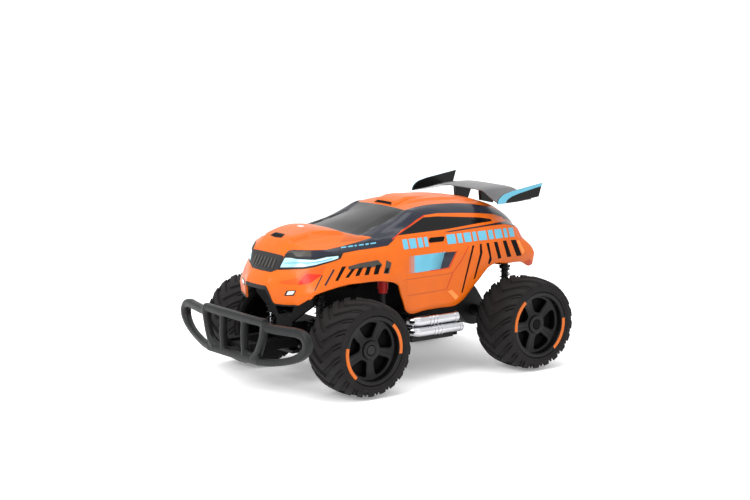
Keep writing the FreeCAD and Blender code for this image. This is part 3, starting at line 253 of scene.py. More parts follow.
def catmull(p0, p1, p2, p3, t):
    """Point between p1 and p2 with chord-scaled tangents."""
    d0, d1, d2 = max((p1 - p0).length, 1e-6), max((p2 - p1).length, 1e-6), max((p3 - p2).length, 1e-6)
    m1 = (p1 - p0) / d0 * (d1 / (d0 + d1)) + (p2 - p1) / d1 * (d0 / (d0 + d1))
    m2 = (p2 - p1) / d1 * (d2 / (d1 + d2)) + (p3 - p2) / d2 * (d1 / (d1 + d2))
    m1, m2 = m1 * d1, m2 * d1
    t2, t3 = t * t, t * t * t
    return p1 * (2 * t3 - 3 * t2 + 1) + m1 * (t3 - 2 * t2 + t) + p2 * (-2 * t3 + 3 * t2) + m2 * (t3 - t2)


def run(pts, n, creases, mirror=False):
    """Interpolates a row of points n times per span; creases[k] from 0 to 1 makes point k a corner."""
    out = []
    last = len(pts) - 1
    for k in range(last):
        a, b = pts[k], pts[k + 1]
        pre = pts[k - 1] if k else (Vector((pts[1].x, -pts[1].y, pts[1].z)) if mirror else a * 2 - b)
        post = pts[k + 2] if k + 2 <= last else b * 2 - a
        ca, cb = creases.get(k, 0), creases.get(k + 1, 0)
        pre = pre.lerp(a * 2 - b, ca)
        post = post.lerp(b * 2 - a, cb)
        for j in range(n):
            out.append(catmull(pre, a, b, post, j / n))
    out.append(pts[-1].copy())
    return out


def body_grid(nu=8, nv=6):
    rows = [[Vector(p) for p in r] for r in ROWS]
    cols = [run([r[j] for r in rows], nu, SPLIT_ROWS) for j in range(11)]
    grid = []
    for i in range(len(cols[0])):
        half = run([c[i] for c in cols], nv, SPLIT_COLS, mirror=True)
        grid.append([Vector((p.x, -p.y, p.z)) for p in reversed(half[1:])] + half)
    return grid




def ramp(a, b, v):
    k = min(1.0, max(0.0, (v - a) / (b - a)))
    return k * k * (3 - 2 * k)


DOME = [(140, 15.5), (135, 18.2), (129, 21.2), (123, 22.2), (117.5, 23.0), (106.7, 26.0), (95.7, 28.9), (77, 32.8), (70, 34)]


def relief(p):
    """Shallow pressed shapes: the bonnet's raised middle, the roof's channels and the door's sunken face."""
    x, y, z = p.x, abs(p.y), p.z
    q = p.copy()
    if 74 < x < 138 and z > 128:
        for (xa, ya), (xb, yb) in zip(DOME, DOME[1:]):
            if xb <= x <= xa:
                yd = ya + (yb - ya) * (xa - x) / (xa - xb)
                k = ramp(74, 84, x) * (1 - ramp(128, 138, x))
                q.z += k * (2.0 * (1 - ramp(yd - 1.0, yd + 1.8, y)) - 0.8 * math.exp(-((y - yd - 2.8) / 2.0) ** 2) + 0.5 * math.exp(-((y - yd - 7.0) / 2.2) ** 2))
                break
    if -100 < x < 4 and z > 150:
        # a raised middle on the roof with a channel beside it
        k = (1 - ramp(-8, 4, x)) * ramp(-100, -84, x)
        yd = 21.5 + 2.5 * math.sin(min(1, max(0, -x / 90)) * math.pi)
        q.z += k * (1.0 * (1 - ramp(yd - 1.2, yd + 1.6, y)) - 0.8 * math.exp(-((y - yd - 2.8) / 1.9) ** 2))
    if 2 < x < 72 and z > 133:
        # the pillar beside the screen stands a little proud
        edge = 38 + 4 * ramp(45, 66, x)
        q.z += 1.5 * ramp(edge - 0.8, edge + 1.6, y) * (1 - ramp(edge + 9, edge + 15, y)) * ramp(2, 14, x) * (1 - ramp(60, 72, x))
    if y > 60 and 72 < z < 118 and -62 < x < 40:
        # the door panel is a little sunken inside its frame
        u = (z - 92) / 26
        front = 34 - 0.0 * u
        back = -20 - (z - 66) * 0.78
        k = ramp(back, back + 3, x) * (1 - ramp(front - 3, front, x)) * ramp(70, 74, z) * (1 - ramp(110, 117, z))
        q.y -= math.copysign(0.8 * k, p.y)
    return q


# The nose's corners, rounded back by these distances.
for i, row in enumerate([[0, 0, 0, 1.5, 3.5, 5, 5, 5, 5, 5, 5], [0, 0, 0, 1.5, 3.5, 5, 5, 5, 4.5, 4, 3], [0, 0, 0, 1, 2.5, 4, 4, 4, 3.5, 3, 2], [0, 0, 0, 0, 1, 2, 2, 2, 1.5, 1, 0.5]]):
    ROWS[i] = [(x - 0.587 * k, y - 0.779 * k, z - 0.16 * k) for (x, y, z), k in zip(ROWS[i], row)]
GRID = [[relief(p) for p in r] for r in body_grid()]
NU, NV = 8, 6


def build_shell():
    n, m = len(GRID), len(GRID[0])
    verts = [p for r in GRID for p in r]
    faces = [(i * m + j, i * m + j + 1, (i + 1) * m + j + 1, (i + 1) * m + j) for i in range(n - 1) for j in range(m - 1)]
    # closed tail panel under the last row and a return under the nose are left open, as the shell is
    me = bpy.data.meshes.new("body_skin")
    me.from_pydata([W(v) for v in verts], [], faces)
    bm = bmesh.new()
    bm.from_mesh(me)
    bmesh.ops.recalc_face_normals(bm, faces=bm.faces)
    # make the normals point outwards
    up = max(bm.faces, key=lambda f: f.calc_center_median().z)
    if up.normal.z < 0:
        bmesh.ops.reverse_faces(bm, faces=bm.faces)
    bm.to_mesh(me)
    bm.free()
    return me


SKIN = build_shell()
_bm = bmesh.new()
_bm.from_mesh(SKIN)
TREE = BVHTree.FromBMesh(_bm)
_bm.free()
shell = link(bpy.data.objects.new("body_shell_visual", SKIN))
for k in (ORANGE, NAVY, GLASS_DARK, SHELL_INSIDE_PAINTED_SHADE):
    SKIN.materials.append(k)
_m = len(GRID[0])
_c = (_m - 1) // 2
for f in SKIN.polygons:
    i, j = min(f.vertices) // _m, min(v % _m for v in f.vertices)
    row, col = i // NU, (j - _c) // NV if j >= _c else (_c - 1 - j) // NV
    if 10 <= row <= 12 and col <= 2:
        f.material_index = 2
    elif 10 <= row <= 19 and col in (3, 4):
        f.material_index = 1
finish_mesh(SKIN, 24)
# The inner face of the thickened shell gets the brown-black inside material: painted shade under the shell.
sol = shell.modifiers.new("thickness", "SOLIDIFY")
sol.thickness = 0.0018
sol.offset = -1
sol.use_even_offset = False
sol.material_offset = 3
sol.material_offset_rim = 0
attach(shell, "chassis")
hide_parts("body_shell")


# ----------------------------------------------------------------- decals
def frame_of(d):
    d = Vector(d).normalized()
    r = d.cross(Vector((0, 0, 1)))
    if r.length < 1e-3:
        r = Vector((0, 1, 0))
    r.normalize()
    return d, r, r.cross(d).normalized()


def sub_edges(loop, step):
    out = []
    for a, b in zip(loop, loop[1:] + loop[:1]):
        k = max(1, int(math.ceil((b - a).length / step)))
        out += [a.lerp(b, j / k) for j in range(k)]
    return out


def round_loop(loop, r, n=4):
    """Cuts each corner of a 2D loop back by r and rounds it."""
    out = []
    m = len(loop)
    for i in range(m):
        p, a, b = loop[i], loop[i - 1], loop[(i + 1) % m]
        ra, rb = min(r, (a - p).length * 0.45), min(r, (b - p).length * 0.45)
        s, e = p + (a - p).normalized() * ra, p + (b - p).normalized() * rb
        for k in range(n + 1):
            t = k / n
            out.append(s * (1 - t) ** 2 + p * 2 * t * (1 - t) + e * t * t)
    return out


def panel(name, pts, mat, d, lift=0.12, sink=0.12, corner=0.0, step=1.5, body="chassis", tree=None, mirror=True, smooth=40, slot="shell_orange"):
    """A thin raised panel whose outline is pts (3D, mm), laid on the shell by casting along -d, with its mirror image."""
    tree = tree or TREE
    d, r, u = frame_of(d)
    pts = [Vector(p) for p in pts]
    loop = [Vector((p.dot(r), p.dot(u))) for p in pts]
    if corner:
        loop = round_loop(loop, corner)
    loop = sub_edges(loop, step)
    xs, ys = [p.x for p in loop], [p.y for p in loop]
    inner = []
    g = step * 1.4
    y = min(ys) + g * 0.5
    while y < max(ys):
        cross = []
        for a, b in zip(loop, loop[1:] + loop[:1]):
            if (a.y > y) != (b.y > y):
                cross.append(a.x + (y - a.y) / (b.y - a.y) * (b.x - a.x))
        cross.sort()
        for c0, c1 in zip(cross[::2], cross[1::2]):
            x = c0 + g * 0.6
            while x < c1 - g * 0.5:
                inner.append(Vector((x, y)))
                x += g
        y += g
    nl = len(loop)
    v2, _, f2, *_ = delaunay_2d_cdt(loop + inner, [(i, (i + 1) % nl) for i in range(nl)], [], 1, 1e-4)
    centre = sum(pts, Vector()) / len(pts)
    top, bot = [], []
    for q in v2:
        base = r * q.x + u * q.y + d * (centre.dot(d) + 60)
        hit = tree.ray_cast(W(base), -d, 0.2)
        if hit[0] is None:
            near = tree.find_nearest(W(r * q.x + u * q.y + d * centre.dot(d)))
            loc, nor = near[0], near[1]
        else:
            loc, nor = hit[0], hit[1]
        if nor.dot(d) < 0:
            nor = -nor
        top.append(loc + nor * lift / 1000)
        bot.append(loc - nor * sink / 1000)
    n = len(top)
    faces = [tuple(f) for f in f2]
    count = {}
    for f in faces:
        for a, b in zip(f, f[1:] + f[:1]):
            count[(a, b)] = count.get((a, b), 0) + 1
    rim = [(a, b) for (a, b) in count if (b, a) not in count]
    allf = faces + [tuple(i + n for i in reversed(f)) for f in faces] + [(b, a, a + n, b + n) for a, b in rim]
    objs = []
    for side in ((1, -1) if mirror else (1,)):
        vs = [Vector((v.x, v.y * side, v.z)) for v in top + bot]
        fs = allf if side > 0 else [tuple(reversed(f)) for f in allf]
        o = mesh(name + ("" if not mirror else ("_l" if side > 0 else "_r")), vs, fs, mat, body, smooth, mm=False)
        objs.append(o)
    return objs


def stripe(name, pts, width, mat, d, **kw):
    """A narrow line of constant width along 3D points, as a panel."""
    dd, r, u = frame_of(d)
    p2 = [Vector((Vector(p).dot(r), Vector(p).dot(u))) for p in pts]
    left, right = [], []
    for i, p in enumerate(p2):
        a, b = p2[max(0, i - 1)], p2[min(len(p2) - 1, i + 1)]
        t = (b - a).normalized()
        nrm = Vector((-t.y, t.x)) * width / 2
        left.append(p + nrm)
        right.append(p - nrm)
    c = sum((Vector(p) for p in pts), Vector()) / len(pts)
    ring = [r * q.x + u * q.y + dd * c.dot(dd) for q in left + right[::-1]]
    return panel(name, ring, mat, d, **kw)


# Graphics and trim, as outlines on the left side of the shell; each is laid on the surface and mirrored. The near-black
# fills in slits, vents and the handle recess and the darker crease and corner lines are painted shade; the pale facets
# are painted highlights.
# DECALS BEGIN
DECALS = [
    ("headlight_border", DARK_TRIM, "poly", [(141.3, 25.9, 125.2), (138.6, 28.2, 128.1), (136.2, 31.3, 129.4), (135, 36.4, 125.9), (122.9, 48.9, 125), (113.4, 53.5, 126.8), (100.8, 57.3, 127.4), (97.2, 57.3, 128.1), (101.7, 59.6, 123.7), (107.4, 58.6, 122), (125, 51.7, 117.1), (133, 44.9, 115.2), (146.4, 22.7, 112.7), (143.7, 24.7, 119.2)], dict(lift=0.34, corner=0.6)),
    ("headlight", LAMP, "poly", [(141.1, 27.3, 124.1), (138.1, 32.8, 124.3), (135.5, 37.2, 123.6), (123.5, 49.7, 123.1), (113.9, 54.2, 125.3), (103.1, 58.1, 125.9), (104, 58.9, 124), (108.5, 57.9, 122.7), (124.6, 51.1, 118.7), (132.6, 44.3, 116.8), (144.9, 24.7, 115.1), (143.2, 25.8, 119.3)], dict(lift=0.55, corner=0.6)),
    ("headlight_inner", LAMP_WHITE, "poly", [(134.7, 38.3, 123), (123.7, 50, 122.5), (114.2, 54.6, 124.4), (107.9, 57.1, 124.9), (119.5, 53, 122.3), (127.9, 46.8, 121), (135, 38.7, 120.9)], dict(lift=0.65, corner=0.4)),
    ("headlight_rib", PALE_BLUE, "line", [(142.1, 28.2, 119.3), (135.1, 38.8, 120.3), (128, 47, 120.4), (119.7, 53.2, 121.8), (109.4, 57, 124)], dict(width=0.8, lift=0.7)),
    ("band", NAVY, "poly", [(140.9, 25.4, 126.1), (137.6, 27.5, 130.1), (135.3, 30.1, 131.1), (122.9, 44.3, 131.3), (111.4, 50.8, 131.5), (96.2, 52.2, 133.2), (78.6, 52.7, 135.6), (65.7, 53.2, 137.7), (58, 52.8, 139.1), (46.9, 52.7, 140.3), (35.2, 55.3, 140.9), (39.3, 59.9, 136.9), (43.2, 61, 134.3), (49.2, 62.3, 131.2), (59.8, 60.9, 130.3), (81.3, 58.7, 129.4), (97.2, 57.3, 128.1), (100.8, 57.3, 127.4), (113.4, 53.5, 126.8), (122.9, 48.9, 125), (135, 36.4, 125.9), (136.5, 31.7, 128.6), (138.7, 28.5, 127.6)], dict(lift=0.3, corner=0.6, step=1.0)),
    ("band_lens", GREY_TRIM, "poly", [(140.5, 26.4, 126.2), (137.5, 28.1, 129.9), (135.4, 30.6, 130.8), (123.7, 44.1, 130.9), (125.4, 46.5, 126), (134.9, 36.3, 126.3), (136.3, 31.5, 129), (138.6, 28.2, 128.1)], dict(lift=0.42, corner=0.5)),
    ("patch_deep", ORANGE_DEEP, "poly", [(148.8, 26.1, 102.5), (138.7, 43.4, 107.1), (133.1, 46.3, 113.3), (116.2, 57.3, 118.1), (121.3, 58.2, 110.5), (132.5, 48.6, 111.3), (138, 46.2, 104.7), (139.8, 45.4, 101.1), (147, 30.4, 100.5)], dict(lift=0.06, corner=0.5)),
    ("patch_red", RED_EDGE, "poly", [(136.1, 47, 107.3), (132.5, 48.6, 111.3), (121.3, 58.2, 110.5), (128.3, 56.3, 106.1), (133, 53.9, 102.9), (139.8, 45.4, 101.1), (138, 46.2, 104.7)], dict(lift=0.1, corner=0.5)),
    ("fog_border", DARK_TRIM, "poly", [(145.3, 34.9, 94.9), (141.1, 44.9, 96.1), (142.8, 42.7, 91.1), (146.4, 32.9, 90)], dict(lift=0.2, corner=0.5)),
    ("fog_lamp", LAMP_WHITE, "poly", [(144.7, 36.8, 94.4), (141.9, 43.7, 95.4), (143.1, 42, 92.1), (145.5, 35.1, 91.1)], dict(lift=0.35, corner=0.5)),
    ("slit_f1", NAVY, "line", [(121.6, 58.4, 109.9), (131.2, 59.8, 96.9)], dict(width=1.0, lift=0.12)),
    ("slit_f2", NAVY, "line", [(110.4, 61.1, 114.5), (122.2, 63.6, 101.3)], dict(width=1.7, lift=0.12)),
    # Painted shade: near-black fill inside the slit.
    ("slit_f3", HOLLOW_PAINTED_SHADE, "poly", [(101.9, 62.2, 116.5), (98, 63.1, 116.6), (109.7, 66.5, 104.7), (112.4, 65.7, 104.9)], dict(lift=0.12, corner=0.3)),
    ("comb_back", GREY_TRIM, "poly", [(96.4, 63.6, 116.1), (84.2, 64.8, 118.1), (63.6, 65.9, 119.4), (59.7, 67.3, 115), (61.2, 68, 112.7), (64.1, 68.3, 111.7), (67.3, 67.5, 113.6), (71.3, 67.3, 113.6), (75.6, 67.4, 112.7), (79.9, 66.7, 114), (83.3, 66.8, 112.8), (88.3, 65.8, 113.8), (91.6, 65.8, 112.4), (95.7, 64.7, 113.5)], dict(lift=0.16, corner=0.4)),
    # Painted shade: near-black fills between the comb's teeth.
    ("comb_leg1", HOLLOW_PAINTED_SHADE, "poly", [(93, 65, 113.8), (89.2, 65.5, 114), (98.5, 67.5, 106.7), (101.9, 67, 106.8)], dict(lift=0.22, corner=0.3)),
    ("comb_leg2", HOLLOW_PAINTED_SHADE, "poly", [(85.5, 66, 114.2), (80.9, 66.4, 114.4), (87.3, 68.5, 107.4), (91.3, 68, 107.4)], dict(lift=0.22, corner=0.3)),
    ("comb_leg3", HOLLOW_PAINTED_SHADE, "poly", [(76.7, 66.8, 114.3), (71.9, 67, 114.3), (77.1, 69.5, 107.3), (81.6, 69.1, 107.3)], dict(lift=0.22, corner=0.3)),
    ("comb_leg4", HOLLOW_PAINTED_SHADE, "poly", [(66.5, 67, 115.1), (61, 67.2, 115.1), (66.4, 70, 106.9), (71.6, 69.8, 107)], dict(lift=0.22, corner=0.3)),
    ("vent_f", GREY_TRIM, "poly", [(54.2, 66.6, 118.5), (49.1, 67.7, 115.5), (53.9, 70.2, 106.2), (60.1, 70, 106.8), (56.4, 68, 112.9)], dict(lift=0.16, corner=0.4)),
    # Painted shade: near-black fill inside the vent.
    ("vent_f_in", HOLLOW_PAINTED_SHADE, "poly", [(56.4, 68.7, 110.9), (52.7, 68.6, 111.5), (55.1, 70, 106.8), (59.4, 69.9, 107.1)], dict(lift=0.24, corner=0.3)),
    ("rail_foot", NAVY, "poly", [(45.5, 60.7, 134.5), (40, 53.5, 141.2), (31.4, 51, 144.8), (27.3, 54.6, 142.9), (35.8, 57.7, 139)], dict(lift=0.14)),
    ("window_surround", ORANGE, "poly", [(34.7, 58.1, 138.8), (14.2, 53.1, 147), (-3.7, 49.6, 153.6), (-19.8, 49.5, 154.1), (-44.3, 49.8, 152.3), (-69, 48.1, 149.9), (-92.5, 45.2, 146.6), (-106.3, 43.9, 142.2), (-106.1, 49.4, 138.9), (-98.5, 56.6, 137.9), (-77.1, 58.1, 138), (-28.9, 60.1, 136.5), (11.3, 60.4, 136.4), (35, 60.2, 136.7)], dict(lift=0.2, step=1.1)),
    ("side_window", WINDOW, "poly", [(35.1, 58.2, 138.7), (-1.5, 51.1, 151.8), (-18, 51.8, 151.4), (-69.8, 51.5, 145.9), (-84.6, 51.2, 143), (-85.3, 53.5, 141.2), (-66.2, 55.9, 141.2), (-25, 58.5, 139.5), (8.3, 58.8, 139.2)], dict(lift=0.38, corner=0.5, step=1.1)),
    ("rail_edge", RED_EDGE, "line", [(42.7, 60.1, 136), (34.6, 57.8, 139), (14.2, 53.1, 147), (-3.6, 49.7, 153.5)], dict(width=0.8, lift=0.45)),
    ("belt_strip", NAVY, "poly", [(-19.9, 59.9, 137), (-29.5, 59.4, 137.7), (-78, 56.9, 139), (-99.8, 52.9, 139.3), (-108.1, 48, 138.9), (-120.5, 46.6, 132.9), (-120.9, 47.1, 132.4), (-98, 57.1, 137.7), (-77, 58.2, 137.9), (-29, 60, 136.6)], dict(lift=0.35)),
    # Painted shade: near-black fill in the handle recess.
    ("handle", HOLLOW_PAINTED_SHADE, "poly", [(-1.4, 61.8, 133.7), (-17.7, 61.8, 133.4), (-18.8, 62.3, 132.6), (-15.7, 64, 129.2), (1, 64, 129.3), (1.1, 62.7, 131.9)], dict(lift=0.3, corner=0.5)),
    ("halftone", PALE_BLUE, "poly", [(20.7, 67.3, 119.3), (-17.5, 67.4, 119.4), (-10.1, 68.9, 104), (21.9, 68.8, 103.3)], dict(lift=0.1)),
    ("halftone_navy", NAVY, "poly", [(-15.3, 67.5, 119), (-28.7, 67.5, 118.6), (-18.6, 68.8, 104.6), (-8.4, 68.9, 104)], dict(lift=0.18)),
    ("halftone_edge", RED_EDGE, "line", [(-30.2, 67.3, 119), (-19.6, 68.8, 104), (-8, 68.9, 103.5), (4.1, 68.9, 103.4)], dict(width=0.8, lift=0.12)),
    ("door_line_0", SEAM, "line", [(36.6, 70, 98), (9.5, 69.2, 98.2), (-17.5, 69.1, 98.3), (-23.1, 69, 99.2)], dict(width=0.5, lift=0.05)),
    ("door_line_1", SEAM, "line", [(31, 69.2, 82.5), (7.6, 69, 82.9), (-15.5, 68.9, 83.4)], dict(width=0.5, lift=0.05)),
    # Painted shade: a darker orange-red line along the door crease.
    ("door_crease_painted_shade", ORANGE_RED_PAINTED_SHADE, "line", [(-16.1, 68.9, 83.1), (-23.8, 69, 99.1), (-35, 68.1, 109.1), (-45.8, 66, 122)], dict(width=0.9, lift=0.08)),
    # Painted highlight: a pale orange patch where light catches the door's lower facet.
    ("door_facet_painted_highlight", PAINTED_HIGHLIGHT_ORANGE, "poly", [(-17.9, 68.8, 81.2), (-22.3, 68.8, 82.4), (-30.9, 69.1, 74.8), (-27, 69.1, 72.2)], dict(lift=0.25, corner=0.4)),
    # Painted shade: near-black fills inside the rear slits.
    ("slit_r1", HOLLOW_PAINTED_SHADE, "poly", [(-50.5, 65.8, 122.1), (-52.9, 65.7, 122), (-35.9, 69.1, 78.3), (-34.2, 69.1, 78.2)], dict(lift=0.12, corner=0.25)),
    ("slit_r2", HOLLOW_PAINTED_SHADE, "poly", [(-60.2, 65.2, 122.5), (-62.5, 65.1, 122.6), (-62, 67.1, 113.9), (-52.1, 68.5, 90.8), (-49.7, 68.6, 89.1), (-58.7, 67.3, 113.6)], dict(lift=0.12, corner=0.25)),
    ("slit_r3", HOLLOW_PAINTED_SHADE, "poly", [(-68.7, 64.8, 122.5), (-72.1, 64.6, 122.6), (-73, 66.7, 112.1), (-73.9, 67, 106), (-71, 67, 101.8), (-69, 67.3, 102.8), (-71, 67.2, 108.9)], dict(lift=0.12, corner=0.25)),
    ("slit_r4", HOLLOW_PAINTED_SHADE, "poly", [(-78.8, 64.2, 122.5), (-83.4, 63.9, 122.4), (-87.1, 65.9, 106.4), (-83, 66.2, 105.8)], dict(lift=0.12, corner=0.25)),
    ("slit_r5", HOLLOW_PAINTED_SHADE, "poly", [(-90.9, 63.3, 122.5), (-95.7, 62.8, 122.4), (-101.2, 64.6, 106.2), (-95.4, 65.1, 106.2)], dict(lift=0.12, corner=0.25)),
    ("slit_r6", HOLLOW_PAINTED_SHADE, "poly", [(-102.1, 62.2, 122), (-109.4, 61.3, 121.6), (-115.6, 63.2, 105.6), (-108.6, 64, 105.8)], dict(lift=0.12, corner=0.25)),
    # Painted highlight on the tail facet, then painted shade on the tail's lower corner.
    ("tail_facet_painted_highlight", PAINTED_HIGHLIGHT_ORANGE, "poly", [(-110.8, 61.4, 120.6), (-114.4, 60.6, 120.5), (-120.3, 62.2, 109.6), (-117.1, 63, 106.3)], dict(lift=0.12, corner=0.4)),
    ("tail_corner_painted_shade", ORANGE_RED_PAINTED_SHADE, "poly", [(-121.4, 61.6, 98.5), (-128.3, 60.6, 100.6), (-134.3, 58.5, 95.7), (-130.7, 59.4, 93.8), (-126.1, 60.3, 94.1)], dict(lift=0.12, corner=0.5)),
    ("tail_edge", PINK, "line", [(-120.6, 46.7, 132.8), (-122.5, 52.2, 126.4), (-120, 58.2, 121.4)], dict(width=2.0, lift=0.25)),
    ("stripe_block_0", PALE_BLUE, "poly", [(31.7, 61.1, 134.9), (25.9, 61.1, 134.9), (26.6, 65.1, 126), (32.3, 65, 126)], dict(lift=0.16, corner=0.2)),
    ("stripe_block_1", PALE_BLUE, "poly", [(23.9, 61.1, 134.9), (16, 61.2, 134.8), (16.8, 65.2, 126.1), (24.5, 65.1, 126)], dict(lift=0.16, corner=0.2)),
    ("stripe_block_2", PALE_BLUE, "poly", [(13.7, 61.2, 134.8), (8.2, 61.3, 134.8), (8.9, 65.3, 126.1), (14.4, 65.2, 126.1)], dict(lift=0.16, corner=0.2)),
    ("stripe_block_3", PALE_BLUE, "poly", [(6.1, 61.3, 134.8), (2, 61.3, 134.8), (2.8, 65.3, 126.1), (6.9, 65.3, 126.1)], dict(lift=0.16, corner=0.2)),
    ("stripe_block_4", PALE_BLUE, "poly", [(-21.4, 61.2, 134.6), (-32, 61.1, 134.5), (-31.2, 65.1, 125.9), (-20.6, 65.3, 126)], dict(lift=0.16, corner=0.2)),
    ("stripe_block_5", PALE_BLUE, "poly", [(-34.5, 61.1, 134.5), (-40.3, 61, 134.4), (-39.5, 65, 125.9), (-33.8, 65.1, 125.9)], dict(lift=0.16, corner=0.2)),
    ("stripe_block_6", PALE_BLUE, "poly", [(-42.8, 60.9, 134.4), (-51.5, 60.8, 134.3), (-50.9, 64.6, 125.8), (-42.1, 64.9, 125.9)], dict(lift=0.16, corner=0.2)),
    ("stripe_block_7", PALE_BLUE, "poly", [(-54, 60.7, 134.3), (-58.4, 60.6, 134.3), (-57.9, 64.3, 125.7), (-53.4, 64.5, 125.8)], dict(lift=0.16, corner=0.2)),
    ("stripe_block_8", PALE_BLUE, "poly", [(-61, 60.6, 134.2), (-71.3, 60.3, 134.1), (-71, 63.7, 125.6), (-60.5, 64.2, 125.7)], dict(lift=0.16, corner=0.2)),
    ("stripe_block_9", PALE_BLUE, "poly", [(-73.9, 60.2, 134.1), (-79.9, 60, 134), (-79.8, 63.3, 125.5), (-73.7, 63.6, 125.5)], dict(lift=0.16, corner=0.2)),
    ("stripe_block_10", PALE_BLUE, "poly", [(-82.4, 60, 134), (-91.5, 59.7, 133.9), (-91.7, 62.5, 125.3), (-82.4, 63.1, 125.4)], dict(lift=0.16, corner=0.2)),
    ("stripe_block_11", PALE_BLUE, "poly", [(-94.2, 59.5, 133.8), (-98.8, 58.9, 133.7), (-99, 61.8, 125.1), (-94.5, 62.3, 125.2)], dict(lift=0.16, corner=0.2)),
    ("stripe_block_12", PALE_BLUE, "poly", [(-101.8, 58.4, 133.6), (-109.4, 56.5, 133.2), (-108.7, 60.4, 124.8), (-101.9, 61.4, 125.1)], dict(lift=0.16, corner=0.2)),
    ("band_dash_0", PALE_BLUE, "poly", [(96.1, 52.5, 132.9), (90.8, 53.3, 133.1), (91.6, 54.4, 132), (96.9, 53.6, 131.8)], dict(lift=0.42)),
    ("band_dash_1", PALE_BLUE, "poly", [(89, 53.5, 133.2), (83.7, 54.2, 133.5), (84.4, 55.3, 132.3), (89.8, 54.6, 132.1)], dict(lift=0.42)),
    ("band_dash_2", PALE_BLUE, "poly", [(82.2, 54.4, 133.5), (79.7, 54.7, 133.6), (80.5, 55.8, 132.5), (82.9, 55.5, 132.4)], dict(lift=0.42)),
    ("band_dash_3", PALE_BLUE, "poly", [(77.6, 55, 133.7), (72.5, 55.6, 133.9), (73.2, 56.6, 132.8), (78.4, 56, 132.6)], dict(lift=0.42)),
    ("band_dash_4", PALE_BLUE, "poly", [(70.7, 55.9, 134), (67.1, 56.4, 134.2), (67.8, 57.3, 133), (71.4, 56.8, 132.8)], dict(lift=0.42)),
    ("band_dash_5", PALE_BLUE, "poly", [(65.4, 56.7, 134.2), (59.8, 57.8, 134.6), (60.4, 58.5, 133.4), (66, 57.5, 133.1)], dict(lift=0.42)),
]
DOTS = [
    ("door_dots_0", [(28.5, 67.1, 119.4), (20.7, 67.3, 119.3), (21.9, 68.8, 103.3), (29.1, 68.8, 103.3)], 4, 9, 0.35, 0.85, PALE_BLUE),
    ("door_dots_1", [(-1.1, 67.5, 119.4), (-17.8, 67.5, 119.1), (-11.2, 68.9, 104), (2.4, 68.9, 103.8)], 8, 9, 0.25, 0.95, NAVY),
    ("bonnet_dots", [(75.1, 34.5, 140.7), (64.7, 52.9, 138.1), (75.7, 51.1, 136.8), (94.4, 47.1, 136.2)], 16, 6, 0.55, 0.35, GREY_TRIM),
]
# DECALS END
LOOK = (0.594, 0.789, 0.159)
for name, mat, kind, pts, opt in DECALS:
    opt = dict(opt)
    if kind == "line":
        stripe(name, pts, opt.pop("width"), mat, LOOK, **opt)
    else:
        panel(name, pts, mat, LOOK, **opt)



def dots(name, spots, mat, lift=0.16, n=8):
    """Small printed dots: spots are (x, y, z, radius) on the left side; mirrored."""
    d, r, u = frame_of(LOOK)
    verts, faces = [], []
    for x, y, z, rad in spots:
        k0 = len(verts)
        for sink in (0, 1):
            for k in range(n):
                a = 2 * math.pi * k / n
                q = Vector((x, y, z)) + r * rad * math.cos(a) + u * rad * math.sin(a)
                loc, nor = TREE.find_nearest(W(q))[:2]
                if nor.dot(d) < 0:
                    nor = -nor
                verts.append(loc + nor * (-0.0001 if sink else lift / 1000))
        faces.append(tuple(k0 + k for k in range(n)))
        faces.append(tuple(k0 + n + k for k in reversed(range(n))))
        faces += [(k0 + (k + 1) % n, k0 + k, k0 + n + k, k0 + n + (k + 1) % n) for k in range(n)]
    for s in (1, -1):
        vs = [Vector((v.x, v.y * s, v.z)) for v in verts]
        fs = faces if s > 0 else [tuple(reversed(f)) for f in faces]
        mesh(name + ("_l" if s > 0 else "_r"), vs, fs, mat, "chassis", 40, mm=False)


def corner_mix(c, s, t):
    """Point at fractions s, t of the quadrilateral c."""
    a, b = Vector(c[0]).lerp(Vector(c[1]), s), Vector(c[3]).lerp(Vector(c[2]), s)
    return a.lerp(b, t)


for name, quad, nx, ny, r0, r1, mat in DOTS:
    spots = []
    for i in range(nx):
        for j in range(ny):
            s = (i + 0.5) / nx
            p = corner_mix(quad, s, (j + (0.25 if i % 2 else 0.75)) / ny)
            spots.append((p.x, p.y, p.z, r0 + (r1 - r0) * s))
    dots(name, spots, mat)

FRONT_DIR = (1, 0, 0.35)
half = [(141.9, 0, 126.0), (141.7, 14, 125.9), (141.1, 25.3, 125.4), (143.3, 25.0, 120), (146.4, 22.9, 113.2), (149.4, 15.4, 109.9), (150.6, 0, 109.9)]
ring = half + [(x, -y, z) for x, y, z in reversed(half[1:-1])]
panel("grille_panel", ring, GRILLE, FRONT_DIR, lift=0.3, corner=1.0, mirror=False)
for k in range(-3, 4):
    y = 5.2 * k
    panel("grille_slat_%d" % (k + 3), [(143.8, y - 1.2, 121.7), (143.8, y + 1.2, 121.7), (148.5, y + 1.1, 113.4), (148.5, y - 1.1, 113.4)], GREY_TRIM, FRONT_DIR, lift=0.85, sink=0.2, corner=0.4, mirror=False)


